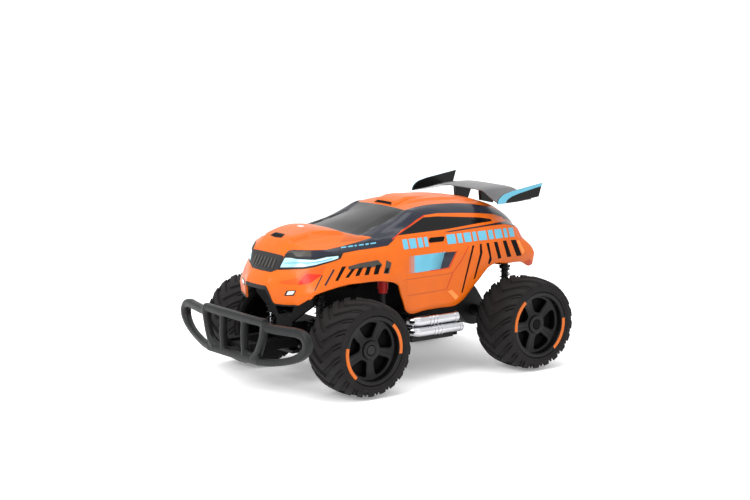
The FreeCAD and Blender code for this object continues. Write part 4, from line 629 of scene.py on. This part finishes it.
def lip():
    """Dark trim along the shell's lower front edge: broad over the opening, narrow along the corners."""
    c = (len(GRID[0]) - 1) // 2
    span = NV * 7
    top, bot = [], []
    for j in range(c - span, c + span + 1):
        y = abs(GRID[0][j].y)
        w = 1.4 + 2.3 * (1 - ramp(16, 23, y))
        w *= 1 - 0.9 * ramp(42, 49, y)
        col = [GRID[i][j] for i in range(2 * NU)]
        pts, left = [col[0]], w
        for a, b in zip(col, col[1:]):
            step = (b - a).length
            if step >= left:
                pts.append(a.lerp(b, left / step))
                break
            left -= step
            pts.append(b)
        ends = [pts[0], pts[0].lerp(pts[-1], 0.5), pts[-1]]
        for e in ends:
            loc, nor = TREE.find_nearest(W(e))[:2]
            if nor.x < 0:
                nor = -nor
            top.append(loc + nor * 0.00045)
            bot.append(loc - nor * 0.0002)
    n = len(top)
    k = n // 3
    faces = []
    for i in range(k - 1):
        for m in range(2):
            a = i * 3 + m
            faces.append((a, a + 1, a + 4, a + 3))
            faces.append((n + a + 3, n + a + 4, n + a + 1, n + a))
        a = i * 3
        faces.append((a + 3, n + a + 3, n + a, a))
        faces.append((a + 2, n + a + 2, n + a + 5, a + 5))
    for a in (0, n - 3):
        e = [(a + m, a + m + 1, n + a + m + 1, n + a + m) for m in range(2)]
        faces += e if a else [tuple(reversed(f)) for f in e]
    mesh("mouth_lip", top + bot, faces, DARK_TRIM, "chassis", 40, mm=False)


lip()
UP_DIR = (0.25, 0, 1)
panel("bonnet_vent", [(132.5, -9.5, 138), (126.8, -7.6, 140), (126.8, 7.6, 140), (132.5, 9.5, 138), (133.6, 0, 138)], DARK_TRIM, UP_DIR, lift=0.3, corner=0.8, mirror=False)
# Painted shade: a near-black panel inside the vent's opening.
panel("bonnet_vent_mouth", [(131.8, -7.8, 138), (128.6, -6.6, 140), (128.6, 6.6, 140), (131.8, 7.8, 138), (132.7, 0, 138)], HOLLOW_PAINTED_SHADE, UP_DIR, lift=0.4, corner=0.5, mirror=False)
panel("bonnet_badge", [(106.5, -3.2, 145), (103.5, -5, 145), (101, 0, 145), (103.5, 5, 145), (106.5, 3.2, 145)], WHITE, UP_DIR, lift=0.12, corner=0.9, mirror=False)


def roof_scoop():
    """Low raised intake on the front of the roof; its front opening is a near-black piece, painted shade."""
    verts, faces = [], []
    xs = [8.0, 5.0, 0.0, -8, -18, -30, -42]
    hs = [0.2, 2.6, 2.7, 2.3, 1.5, 0.6, 0.05]
    ws = [15.5, 16.5, 17.5, 18, 17.5, 16, 13.5]
    n = 14
    for x, h, w in zip(xs, hs, ws):
        for k in range(n + 1):
            y = -w + 2 * w * k / n
            hit = TREE.ray_cast(W((x, y, 200)), Vector((0, 0, -1)), 1)[0]
            z = hit.z * 1000
            e = min(1.0, (w - abs(y)) / 2.6)
            verts.append(Vector((x, y, z + h * e * e * (3 - 2 * e) - 0.05)))
    m = n + 1
    for i in range(len(xs) - 1):
        for k in range(n):
            a = i * m + k
            faces.append((a, a + 1, a + 1 + m, a + m))
    k0 = len(verts)
    verts += [v - Vector((0, 0, 0.6 + (2.0 if False else 0))) for v in verts]
    tot = len(faces)
    for i in range(tot):
        a, b, c, d = faces[i]
        faces.append((d + k0, c + k0, b + k0, a + k0))
    rimv = [k for k in range(m)] + [i * m + n for i in range(1, len(xs))] + [(len(xs) - 1) * m + k for k in range(n - 1, -1, -1)] + [i * m for i in range(len(xs) - 2, 0, -1)]
    for a, b in zip(rimv, rimv[1:] + rimv[:1]):
        faces.append((b, a, a + k0, b + k0))
    mesh("roof_scoop", verts, faces, ORANGE, "chassis", 50)
    # the mouth facing forwards is a near-black piece, painted shade inside the intake
    vs, fs = [], []
    n = 12
    for k in range(n + 1):
        y = -13.5 + 27 * k / n
        e = min(1.0, (13.5 - abs(y)) / 2.0)
        z5 = TREE.ray_cast(W((5.6, y, 200)), Vector((0, 0, -1)), 1)[0].z * 1000
        vs += [Vector((7.9, y, z5 + 0.35)), Vector((5.1, y, z5 + 0.5 + 2.0 * e ** 0.5)), Vector((4.6, y, z5 + 0.4 + 1.8 * e ** 0.5)), Vector((7.2, y, z5 - 0.1))]
    for k in range(n):
        for j in range(4):
            a, b = k * 4 + j, k * 4 + (j + 1) % 4
            fs.append((a, b, b + 4, a + 4))
    fs.append((0, 1, 2, 3))
    fs.append((n * 4 + 3, n * 4 + 2, n * 4 + 1, n * 4))
    mesh("roof_scoop_mouth", vs, fs, HOLLOW_PAINTED_SHADE, "chassis", 50)


roof_scoop()


# ----------------------------------------------------------------- wheels
LUGS = 20


def lathe(profile, n, cy):
    """Points of a closed profile (radius, y) turned about the axle; returns verts and faces."""
    k = len(profile)
    verts, faces = [], []
    for i in range(n):
        a = 2 * math.pi * i / n
        for r, y in profile:
            verts.append(Vector((r * math.sin(a), y + cy, r * math.cos(a))))
    for i in range(n):
        for j in range(k):
            a, b = i * k + j, i * k + (j + 1) % k
            c, d = ((i + 1) % n) * k + (j + 1) % k, ((i + 1) % n) * k + j
            faces.append((a, b, c, d))
    return verts, faces


def crown(y):
    """Outer radius of the lug tops across the tyre, y from the middle of the tread."""
    a = abs(y)
    if a < 14:
        return TR - 0.05 - 0.9 * (a / 14) ** 2
    t = (a - 14) / 11.0
    return TR - 0.95 - 3.6 * t ** 1.8


def tyre(name, cx, side, body, node):
    w2 = (TY1 - TY0) / 2
    cy = (TY0 + TY1) / 2
    base = [(30.3, -w2 + 3.0), (31.5, -w2 + 1.0), (33.5, -w2 + 0.5), (36.5, -w2 + 0.2), (38.4, -w2 + 1.4), (39.7, -w2 + 3.6), (41.1, -w2 + 7), (42.2, -12), (42.7, -6), (42.8, 0), (42.7, 6), (42.2, 12),
            (41.1, w2 - 7), (39.7, w2 - 3.6), (38.5, w2 - 1.6), (37.6, w2 - 0.55), (36.6, w2 - 0.1), (35.2, w2 - 0.25), (34.9, w2 - 0.75), (33.6, w2 - 0.9), (33.2, w2 - 1.3), (32.7, w2 - 1.5), (32.5, w2 - 3.2), (30.3, w2 - 3.6),
            (30.3, w2 - 7), (36, w2 - 5), (39.2, w2 - 7), (40, 10), (40, -10), (39.2, -w2 + 7), (36, -w2 + 5), (30.3, -w2 + 6)]
    verts, faces = lathe(base, 120, 0)
    # chevron lugs, each one solid with sloping flanks
    def lug(theta0, y0, y1, width, drop, lean, foot, top_cut=0.0):
        start = len(verts)
        n = 15
        for i in range(n):
            y = y0 + (y1 - y0) * i / (n - 1)
            a = abs(y)
            r = crown(y) - top_cut
            ang = theta0 - lean * (a ** 1.08) / TR
            rb = min(r - 0.6, (42.9 - 0.5 * (a / 12) ** 2) if a < 14 else 42.2 - 3.2 * ((a - 14) / 11) ** 1.6 - 1.0) - 0.5
            rb = max(rb, 37.2)
            half_t, half_b = (width / 2 - 0.55) / TR, (width / 2 + 0.35) / TR
            for da, rr in ((-half_b, rb), (-half_t - 0.25 / TR, r - 0.45), (-half_t + 0.2 / TR, r), (half_t - 0.2 / TR, r), (half_t + 0.25 / TR, r - 0.45), (half_b, rb)):
                verts.append(Vector((rr * math.sin(ang + da), y, rr * math.cos(ang + da))))
        for i in range(n - 1):
            for j in range(5):
                p = start + i * 6 + j
                faces.append((p, p + 1, p + 7, p + 6))
            p = start + i * 6
            faces.append((p, p + 6, p + 11, p + 5))
        faces.append(tuple(start + j for j in range(6)))
        e = start + (n - 1) * 6
        faces.append(tuple(e + j for j in reversed(range(6))))
    pitch = 2 * math.pi / LUGS
    for k in range(LUGS):
        t0 = k * pitch
        lug(t0, -0.2, w2 - 0.7, 8.0, 0, 0.62, 0)
        lug(t0, -w2 + 0.7, 0.2, 8.0, 0, 0.62, 0)
        # shoulder blocks between the lugs
        lug(t0 + pitch * 0.5, 16.5, w2 - 1.4, 3.0, 0, 0.62, 0, 0.9)
        lug(t0 + pitch * 0.5, -w2 + 1.4, -16.5, 3.0, 0, 0.62, 0, 0.9)
    vs = [Vector((v.x + cx, (v.y + cy) * side, v.z + AXZ)) for v in verts]
    return mesh(name, vs, faces, RUBBER, body, 32, over=(node,))


def rim(name, cx, side, body, node, front, arcs):
    """Deep five-spoke rim: barrel, flange, spokes between five windows, hub."""
    w2 = (TY1 - TY0) / 2
    cy = (TY0 + TY1) / 2
    objs = []
    barrel = [(27.8, w2 - 3.0), (28.3, w2 - 2.1), (29.2, w2 - 1.75), (31.6, w2 - 1.75), (32.35, w2 - 2.3), (32.4, w2 - 3.3), (30.2, w2 - 3.6), (29.9, w2 - 8), (29.9, -w2 + 2.0), (32, -w2 + 0.6), (31.9, -w2 + 0.1), (28, -w2 + 1.0), (27.9, w2 - 14)]
    v, f = lathe(barrel, 128, 0)
    mesh(name + "_barrel", [Vector((p.x + cx, (p.y + cy) * side, p.z + AXZ)) for p in v], f, RIM, body, 35, over=(node,))
    # spoke disc, one sector at a time between a rounded window and the sector's border
    verts, faces = [], []
    def dish(r):
        """Depth of the spoke face from the middle of the tyre's width."""
        t = (r - 9) / 18.5
        return w2 - 8.4 - 1.4 * math.sin(min(1, max(0, t)) * math.pi) * 0.9 + 1.2 * max(0, t - 0.75) * 4 * 0.5
    def ring_pt(ang, r, dy=0.0):
        return Vector((r * math.sin(ang), dish(r) + dy, r * math.cos(ang)))
    NR = 40
    for sct in range(5):
        c = 2 * math.pi * sct / 5 + math.radians(front)
        win = []
        corner = [(-15.5, 12.2), (-23.5, 24.9), (23.5, 24.9), (15.5, 12.2)]
        raw = [Vector((r * math.sin(math.radians(a)), r * math.cos(math.radians(a)))) for a, r in corner]
        arc = []
        arc.append(raw[0]);
        for q in range(1, 6):
            a = -23.5 + 47 * q / 6
            if q == 1:
                arc.append(raw[1])
            arc.append(Vector((25.2 * math.sin(math.radians(a)), 25.2 * math.cos(math.radians(a)))))
        arc.append(raw[2]); arc.append(raw[3])
        loop = sub_edges(round_loop(arc, 2.2, 4), 1.0)
        # order the points by angle round the window's centre
        cen = Vector((0, 19.0))
        loop = sorted(loop, key=lambda p: math.atan2(p.x - cen.x, p.y - cen.y))
        m = len(loop)
        border = []
        for p in loop:
            dv = p - cen
            # ray from the centre out to the sector's border
            best = 1e9
            for lo in range(0, 400):
                t = 1.0 + lo * 0.02
                q = cen + dv * t
                r = q.length
                a = abs(math.degrees(math.atan2(q.x, q.y)))
                if r >= 28.0 or r <= 8.6 or a >= 36:
                    best = t
                    break
            border.append(cen + dv * min(best, 9))
        s0 = len(verts)
        levels = [(0.0, -6.0), (0.0, -0.9), (0.06, -0.3), (0.16, 0.0), (0.4, 0.25), (0.7, 0.3), (1.0, 0.0)]
        for t, dy in levels:
            for p, q in zip(loop, border):
                w = p.lerp(q, t)
                a, r = math.atan2(w.x, w.y) + c, w.length
                verts.append(ring_pt(a, r, dy))
        for l in range(len(levels) - 1):
            for i in range(m):
                a, b = s0 + l * m + i, s0 + l * m + (i + 1) % m
                faces.append((a, b, b + m, a + m))
    mesh(name + "_spokes", [Vector((p.x + cx, (p.y + cy) * side, p.z + AXZ)) for p in verts], faces, RIM, body, 38)
    # Painted shade: a near-black disc behind the spokes stands for the shade seen through the windows.
    back = [(5.0, w2 - 15.5), (27.9, w2 - 15.5), (27.9, w2 - 17), (5.0, w2 - 17)]
    v, f = lathe(back, 64, 0)
    mesh(name + "_back", [Vector((p.x + cx, (p.y + cy) * side, p.z + AXZ)) for p in v], f, HOLLOW_PAINTED_SHADE, body, 35)
    # hub: a round boss; its mouth is deep at the rear and capped by the nut at the front
    hub = [(2.5, w2 - 13), (4.3, w2 - 13), (4.3, w2 - 7.9), (5.0, w2 - 6.9), (7.2, w2 - 6.5), (8.6, w2 - 6.9), (9.2, w2 - 8.2), (9.8, w2 - 9.6), (9.8, w2 - 16), (2.5, w2 - 16)]
    v, f = lathe(hub, 72, 0)
    mesh(name + "_hub", [Vector((p.x + cx, (p.y + cy) * side, p.z + AXZ)) for p in v], f, RIM, body, 35)
    # painted arcs on the flange
    for k, (a0, a1) in enumerate(arcs):
        vv, ff = [], []
        n = 28
        prof = [(28.75, w2 - 2.2), (28.9, w2 - 1.58), (32.0, w2 - 1.6), (32.28, w2 - 2.0), (32.0, w2 - 2.6)]
        for i in range(n + 1):
            a = math.radians(a0 + (a1 - a0) * i / n)
            for r, y in prof:
                vv.append(Vector((r * math.sin(a), y, r * math.cos(a))))
        m = len(prof)
        for i in range(n):
            for j in range(m):
                p, q = i * m + j, i * m + (j + 1) % m
                ff.append((p, q, q + m, p + m))
        ff.append(tuple(range(m)))
        ff.append(tuple(n * m + j for j in reversed(range(m))))
        mesh("%s_arc%d" % (name, k), [Vector((p.x + cx, (p.y + cy) * side, p.z + AXZ)) for p in vv], ff, RIM_ORANGE, body, 35)


FXM, RXM = (AXF - X0) * 1000, (AXR - X0) * 1000
tyre("tyre_front_left_visual", FXM, 1, "front_wheel_left", "tyre_front_left")
tyre("tyre_front_right_visual", FXM, -1, "front_wheel_right", "tyre_front_right")
tyre("tyre_rear_left_visual", RXM, 1, "rear_wheels", "tyre_rear_left")
tyre("tyre_rear_right_visual", RXM, -1, "rear_wheels", "tyre_rear_right")
rim("rim_front_left_visual", FXM, 1, "front_wheel_left", "rim_front_left", 4, [(79, 138), (-101, -44)])
rim("rim_front_right_visual", FXM, -1, "front_wheel_right", "rim_front_right", 4, [(79, 138), (-101, -44)])
rim("rim_rear_left_visual", RXM, 1, "rear_wheels", "rim_rear_left", -14, [(38, 96), (-143, -83)])
rim("rim_rear_right_visual", RXM, -1, "rear_wheels", "rim_rear_right", -14, [(38, 96), (-143, -83)])


# ----------------------------------------------------------------- bumper
def tube(pts, radii, cyclic, n=14, squash=1.0):
    """Verts and faces of a round tube along smooth points."""
    P3 = [Vector(p) for p in pts]
    m = len(P3)
    verts, faces = [], []
    prev = None
    for i, p in enumerate(P3):
        a = P3[(i - 1) % m] if cyclic or i else p
        b = P3[(i + 1) % m] if cyclic or i < m - 1 else p
        t = (b - a).normalized()
        side = Vector((1, 0, 0)) - t * t.x
        side.normalize()
        other = t.cross(side)
        r = radii[i] if isinstance(radii, list) else radii
        for k in range(n):
            c = 2 * math.pi * k / n
            ca, sa = math.cos(c), math.sin(c)
            e = 0.72
            ca, sa = math.copysign(abs(ca) ** e, ca), math.copysign(abs(sa) ** e, sa)
            verts.append(p + side * ca * r * squash + other * sa * r)
    last = m if cyclic else m - 1
    for i in range(last):
        for k in range(n):
            a, b = i * n + k, i * n + (k + 1) % n
            c, d = ((i + 1) % m) * n + (k + 1) % n, ((i + 1) % m) * n + k
            faces.append((a, b, c, d))
    if not cyclic:
        faces.append(tuple(range(n)))
        faces.append(tuple((m - 1) * n + k for k in reversed(range(n))))
    return verts, faces


def smooth_line(pts, n, cyclic=False):
    P3 = [Vector(p) for p in pts]
    m = len(P3)
    out = []
    for i in range(m if cyclic else m - 1):
        p0 = P3[(i - 1) % m] if cyclic or i else P3[0] * 2 - P3[1]
        p3 = P3[(i + 2) % m] if cyclic or i + 2 < m else P3[-1] * 2 - P3[-2]
        for j in range(n):
            out.append(catmull(p0, P3[i], P3[(i + 1) % m], p3, j / n))
    if not cyclic:
        out.append(P3[-1].copy())
    return out


def merge(parts):
    V_, F_ = [], []
    for v, f in parts:
        k = len(V_)
        V_ += v
        F_ += [tuple(i + k for i in q) for q in f]
    return V_, F_


def fuse_smooth(name, parts, mat, body, voxel, over, passes=6, smooth=60):
    """Joins tubes into one moulded piece by voxel remeshing, then relaxes it."""
    v, f = merge(parts)
    me = bpy.data.meshes.new(name)
    me.from_pydata([W(p) for p in v], [], f)
    o = link(bpy.data.objects.new(name, me))
    bm = bmesh.new()
    bm.from_mesh(me)
    bmesh.ops.recalc_face_normals(bm, faces=bm.faces)
    bm.to_mesh(me)
    bm.free()
    rm = o.modifiers.new("remesh", "REMESH")
    rm.mode = "VOXEL"
    rm.voxel_size = voxel / 1000
    rm.adaptivity = 0
    sm = o.modifiers.new("relax", "SMOOTH")
    sm.factor = 0.5
    sm.iterations = passes
    dg = bpy.context.evaluated_depsgraph_get()
    new = bpy.data.meshes.new_from_object(o.evaluated_get(dg))
    o.modifiers.clear()
    o.data = new
    new.materials.clear()
    new.materials.append(mat)
    finish_mesh(new, smooth)
    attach(o, body)
    if over:
        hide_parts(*over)
    return o


def bx(y):
    """Forward position of the bumper's tube centre at a distance y from the middle."""
    a = abs(y)
    if a < 44:
        return 180.0
    if a < 56:
        return 180.0 - (a - 44) / 12 * 2.3
    return 177.7 - (a - 56) / 52 * 9.6


def bumper():
    parts = []
    for sd in (1, -1):
        loop = [(47, 68.2, 3.9), (54, 66.9, 4.1), (66, 66.9, 4.2), (80, 67.2, 4.2), (92, 67.2, 4.3), (99, 65, 4.5), (102.6, 60, 4.8), (102.2, 54.8, 4.7), (96.5, 48.3, 4.2), (86.5, 42.8, 3.7), (76, 39.4, 3.5),
                (65, 36.8, 3.5), (54, 35.0, 3.6), (42, 34.2, 3.8)]
        line = smooth_line([(bx(y), y * sd, z) for y, z, r in loop], 5)
        rad = [r for y, z, r in loop]
        radii = []
        for i in range(len(rad) - 1):
            radii += [rad[i] + (rad[i + 1] - rad[i]) * j / 5 for j in range(5)]
        radii.append(rad[-1])
        parts.append(tube(line, radii, False))
        # upright between the middle and the side loop, leaning in towards the bottom
        line = smooth_line([(bx(50), 50 * sd, 70.0), (bx(47), 48.5 * sd, 64), (bx(46), 47 * sd, 57.5), (bx(44), 44 * sd, 50), (bx(38), 40 * sd, 42.5), (bx(30), 33 * sd, 35.5)], 5)
        parts.append(tube(line, [3.6 + 0.9 * abs(i / 12.5 - 1) ** 2 for i in range(26)], False))
        parts.append(tube(smooth_line([(bx(0), 17.8 * sd, 70.5), (bx(0) + 0.8, 17.8 * sd, 52), (bx(0), 17.8 * sd, 35)], 5), 2.9, False, squash=1.25))
        # gusset at the foot of each upright
        parts.append(tube(smooth_line([(bx(20) - 0.5, 22 * sd, 39), (bx(30) - 0.5, 30 * sd, 38.5), (bx(36) - 0.5, 37 * sd, 42)], 4), 2.2, False))
    parts.append(tube(smooth_line([(bx(y), y, 70.9) for y in (-50, -30, 0, 30, 50)], 5), 4.05, False))
    parts.append(tube(smooth_line([(bx(y), y, 34.05) for y in (-42, -30, 0, 30, 42)], 5), 4.0, False))
    return fuse_smooth("front_bumper_visual", parts, BUMPER, "chassis", 0.7, ("front_bumper",), 4)


bumper()


# ------------------------------------------------------------------- wing
def slab(name, outline, y0, y1, mat, bevel=0.5, body="chassis", over=()):
    """A flat plate in the XZ plane between y0 and y1 with rounded edges."""
    n = len(outline)
    verts = [Vector((x, y, z)) for y in (y0, y1) for x, z in outline]
    faces = [tuple(range(n)), tuple(n + i for i in reversed(range(n)))] + [(i, (i + 1) % n, n + (i + 1) % n, n + i) for i in range(n)]
    o = mesh(name, verts, faces, mat, body, 40, over=over)
    bv = o.modifiers.new("edge", "BEVEL")
    bv.width = bevel / 1000
    bv.segments = 3
    bv.limit_method = "ANGLE"
    bv.angle_limit = math.radians(25)
    return o


def wing():
    stations = [(-65.9, 161.6, -82.4, -125), (-58, 163.4, -83.8, -126.5), (-48, 166.0, -86, -128), (-38, 169.1, -88.6, -127.3), (-33, 170.2, -89.6, -127), (-22, 170.75, -90, -127), (0, 170.8, -90, -127)]
    stations = stations + [(-y, z, a, b) for y, z, a, b in reversed(stations[:-1])]
    verts, faces = [], []
    K = 14
    for y, z, xf, xr in stations:
        ring = []
        for k in range(K + 1):
            t = k / K
            x = xf + (xr - xf) * t
            ring.append(Vector((x, y, z + 0.55 * math.sin(math.pi * t) - 0.9 * (1 - t) ** 3 - 0.35)))
        for k in range(K, -1, -1):
            t = k / K
            x = xf + (xr - xf) * t
            th = 0.5 + 1.5 * math.sin(math.pi * min(1, t * 1.1 + 0.02)) ** 0.7 if t < 0.9 else 0.6
            ring.append(Vector((x, y, z + 0.55 * math.sin(math.pi * t) - 0.9 * (1 - t) ** 3 - 0.35 - th)))
        verts += ring
    m = 2 * (K + 1)
    for i in range(len(stations) - 1):
        for k in range(m):
            a, b = i * m + k, i * m + (k + 1) % m
            faces.append((a, b, b + m, a + m))
    faces.append(tuple(range(m)))
    faces.append(tuple((len(stations) - 1) * m + k for k in reversed(range(m))))
    mesh("wing_deck_visual", verts, faces, WING_DECK, "chassis", 35, over=("wing_blade",))
    front = smooth_line([(-80.4, 0, 159.4), (-81.6, 0, 163.2), (-86.5, 0, 167.6), (-95, 0, 170.2), (-112, 0, 172.8), (-137.9, 0, 176.3)], 5)
    outer = [(p.x, p.z) for p in front] + [(-133.6, 163.0), (-106, 160.0)]
    inner = smooth_line([(-90.5, 0, 160.2), (-91.6, 0, 162.2), (-95.5, 0, 164.8), (-103, 0, 167.2), (-116, 0, 169.8), (-136.6, 0, 173.4)], 5)
    edge = [(p.x, p.z) for p in front] + [(p.x, p.z) for p in reversed(inner)]
    for s, nm in ((1, "l"), (-1, "r")):
        a, b = (66.0, 67.6) if s > 0 else (-67.6, -66.0)
        slab("wing_end_" + nm, outer, a, b, WING_BLACK, 0.4)
        a, b = (67.3, 67.95) if s > 0 else (-67.95, -67.3)
        slab("wing_end_edge_" + nm, edge, a, b, PALE_BLUE, 0.15)


wing()


# ---------------------------------------------------------------- springs
def coil(name, node, y):
    """Compression spring with close-wound ends, between the lower and upper ends of the CAD spring node."""
    b = B[node]
    z0, z1 = b[0][2] * 1000, b[1][2] * 1000
    cx = ((b[0][0] + b[1][0]) / 2 - X0) * 1000
    wire, radius, turns, n, k = 0.65, 4.7, 7, 210, 10
    pitch = [0.36 + 0.64 * ramp(0.06, 0.15, i / n) * (1 - ramp(0.85, 0.94, i / n)) for i in range(n)]
    total, run_z, verts, faces = sum(pitch), 0.0, [], []
    for i in range(n + 1):
        a = 2 * math.pi * turns * i / n
        u = Vector((math.cos(a), math.sin(a), 0))
        c = Vector((cx, y, z0 + wire + (z1 - z0 - 2 * wire) * run_z / total)) + u * radius
        for q in range(k):
            t = 2 * math.pi * q / k
            verts.append(c + u * wire * math.cos(t) + Vector((0, 0, wire * math.sin(t))))
        if i < n:
            run_z += pitch[i]
            for q in range(k):
                r = (q + 1) % k
                faces.append((i * k + q, i * k + r, (i + 1) * k + r, (i + 1) * k + q))
    faces.append(tuple(reversed(range(k))))
    faces.append(tuple(n * k + q for q in range(k)))
    o = mesh(name, verts, faces, SPRING, "chassis", 60, over=[node])
    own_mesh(o)


coil("front_spring_left_visual", "front_spring_left", MID["front_spring_left"].y * 1000)
coil("front_spring_right_visual", "front_spring_right", MID["front_spring_right"].y * 1000)
RS = B["rear_springs"][1][1] * 1000 - 5.35
coil("rear_spring_left_visual", "rear_springs", RS)
coil("rear_spring_right_visual", "rear_springs", -RS)


# ------------------------------------------------------------ stage, light
def stage():
    s = bpy.context.scene
    floor_m = bpy.data.materials.new("floor")
    floor_m.use_nodes = True
    nt = floor_m.node_tree
    p = nt.nodes["Principled BSDF"]
    tc = nt.nodes.new("ShaderNodeTexCoord")
    nz = nt.nodes.new("ShaderNodeTexNoise")
    nz.inputs["Scale"].default_value = 3
    rp = nt.nodes.new("ShaderNodeValToRGB")
    rp.color_ramp.elements[0].color = (0.93, 0.93, 0.93, 1)
    rp.color_ramp.elements[1].color = (0.95, 0.95, 0.95, 1)
    nt.links.new(tc.outputs["Object"], nz.inputs["Vector"])
    nt.links.new(nz.outputs["Fac"], rp.inputs["Fac"])
    nt.links.new(rp.outputs["Color"], p.inputs["Base Color"])
    p.inputs["Emission Color"].default_value = (1, 1, 1, 1)
    p.inputs["Emission Strength"].default_value = 0.22
    p.inputs["Roughness"].default_value = 0.9
    p.inputs["Specular IOR Level"].default_value = 0.1
    me = bpy.data.meshes.new("floor")
    n = 24
    vs, fs = [], []
    for i in range(n + 1):
        for j in range(n + 1):
            vs.append(((i / n - 0.5) * 24, (j / n - 0.5) * 24, 0))
    for i in range(n):
        for j in range(n):
            a = i * (n + 1) + j
            fs.append((a, a + 1, a + n + 2, a + n + 1))
    me.from_pydata(vs, [], fs)
    me.materials.append(floor_m)
    fl = link(bpy.data.objects.new("floor", me))
    w = bpy.data.worlds.new("studio")
    s.world = w
    w.use_nodes = True
    bg = w.node_tree.nodes["Background"]
    bg.inputs["Color"].default_value = (1, 1, 1, 1)
    bg.inputs["Strength"].default_value = 1.12

    def area(name, loc, size, power, target=(0, 0, 0.08), sy=None):
        l = bpy.data.lights.new(name, "AREA")
        l.energy = power
        l.size = size
        if sy:
            l.shape = "RECTANGLE"
            l.size_y = sy
        o = link(bpy.data.objects.new(name, l))
        o.location = loc
        o.rotation_euler = (Vector(target) - Vector(loc)).to_track_quat("-Z", "Y").to_euler()
        return o

    area("key", (1.5, 0.35, 1.35), 0.9, 22)
    area("fill", (0.3, 1.7, 0.8), 1.0, 1.5)
    area("top", (-0.1, 0.1, 1.9), 1.2, 11)
    cam = bpy.data.cameras.new("camera")
    co = link(bpy.data.objects.new("camera", cam))
    az, el, dist = math.radians(53.006), math.radians(9.165), 1.9096
    target = Vector((0.01731 + X0, 0, 0.11578))
    d = Vector((math.cos(el) * math.cos(az), math.cos(el) * math.sin(az), math.sin(el)))
    co.location = target + d * dist
    co.rotation_euler = (-d).to_track_quat("-Z", "Y").to_euler()
    cam.sensor_width = 36
    cam.lens = 1972.25 * 36 / 750
    cam.clip_start, cam.clip_end = 0.01, 60
    s.camera = co
    s.view_settings.view_transform = "Standard"


stage()
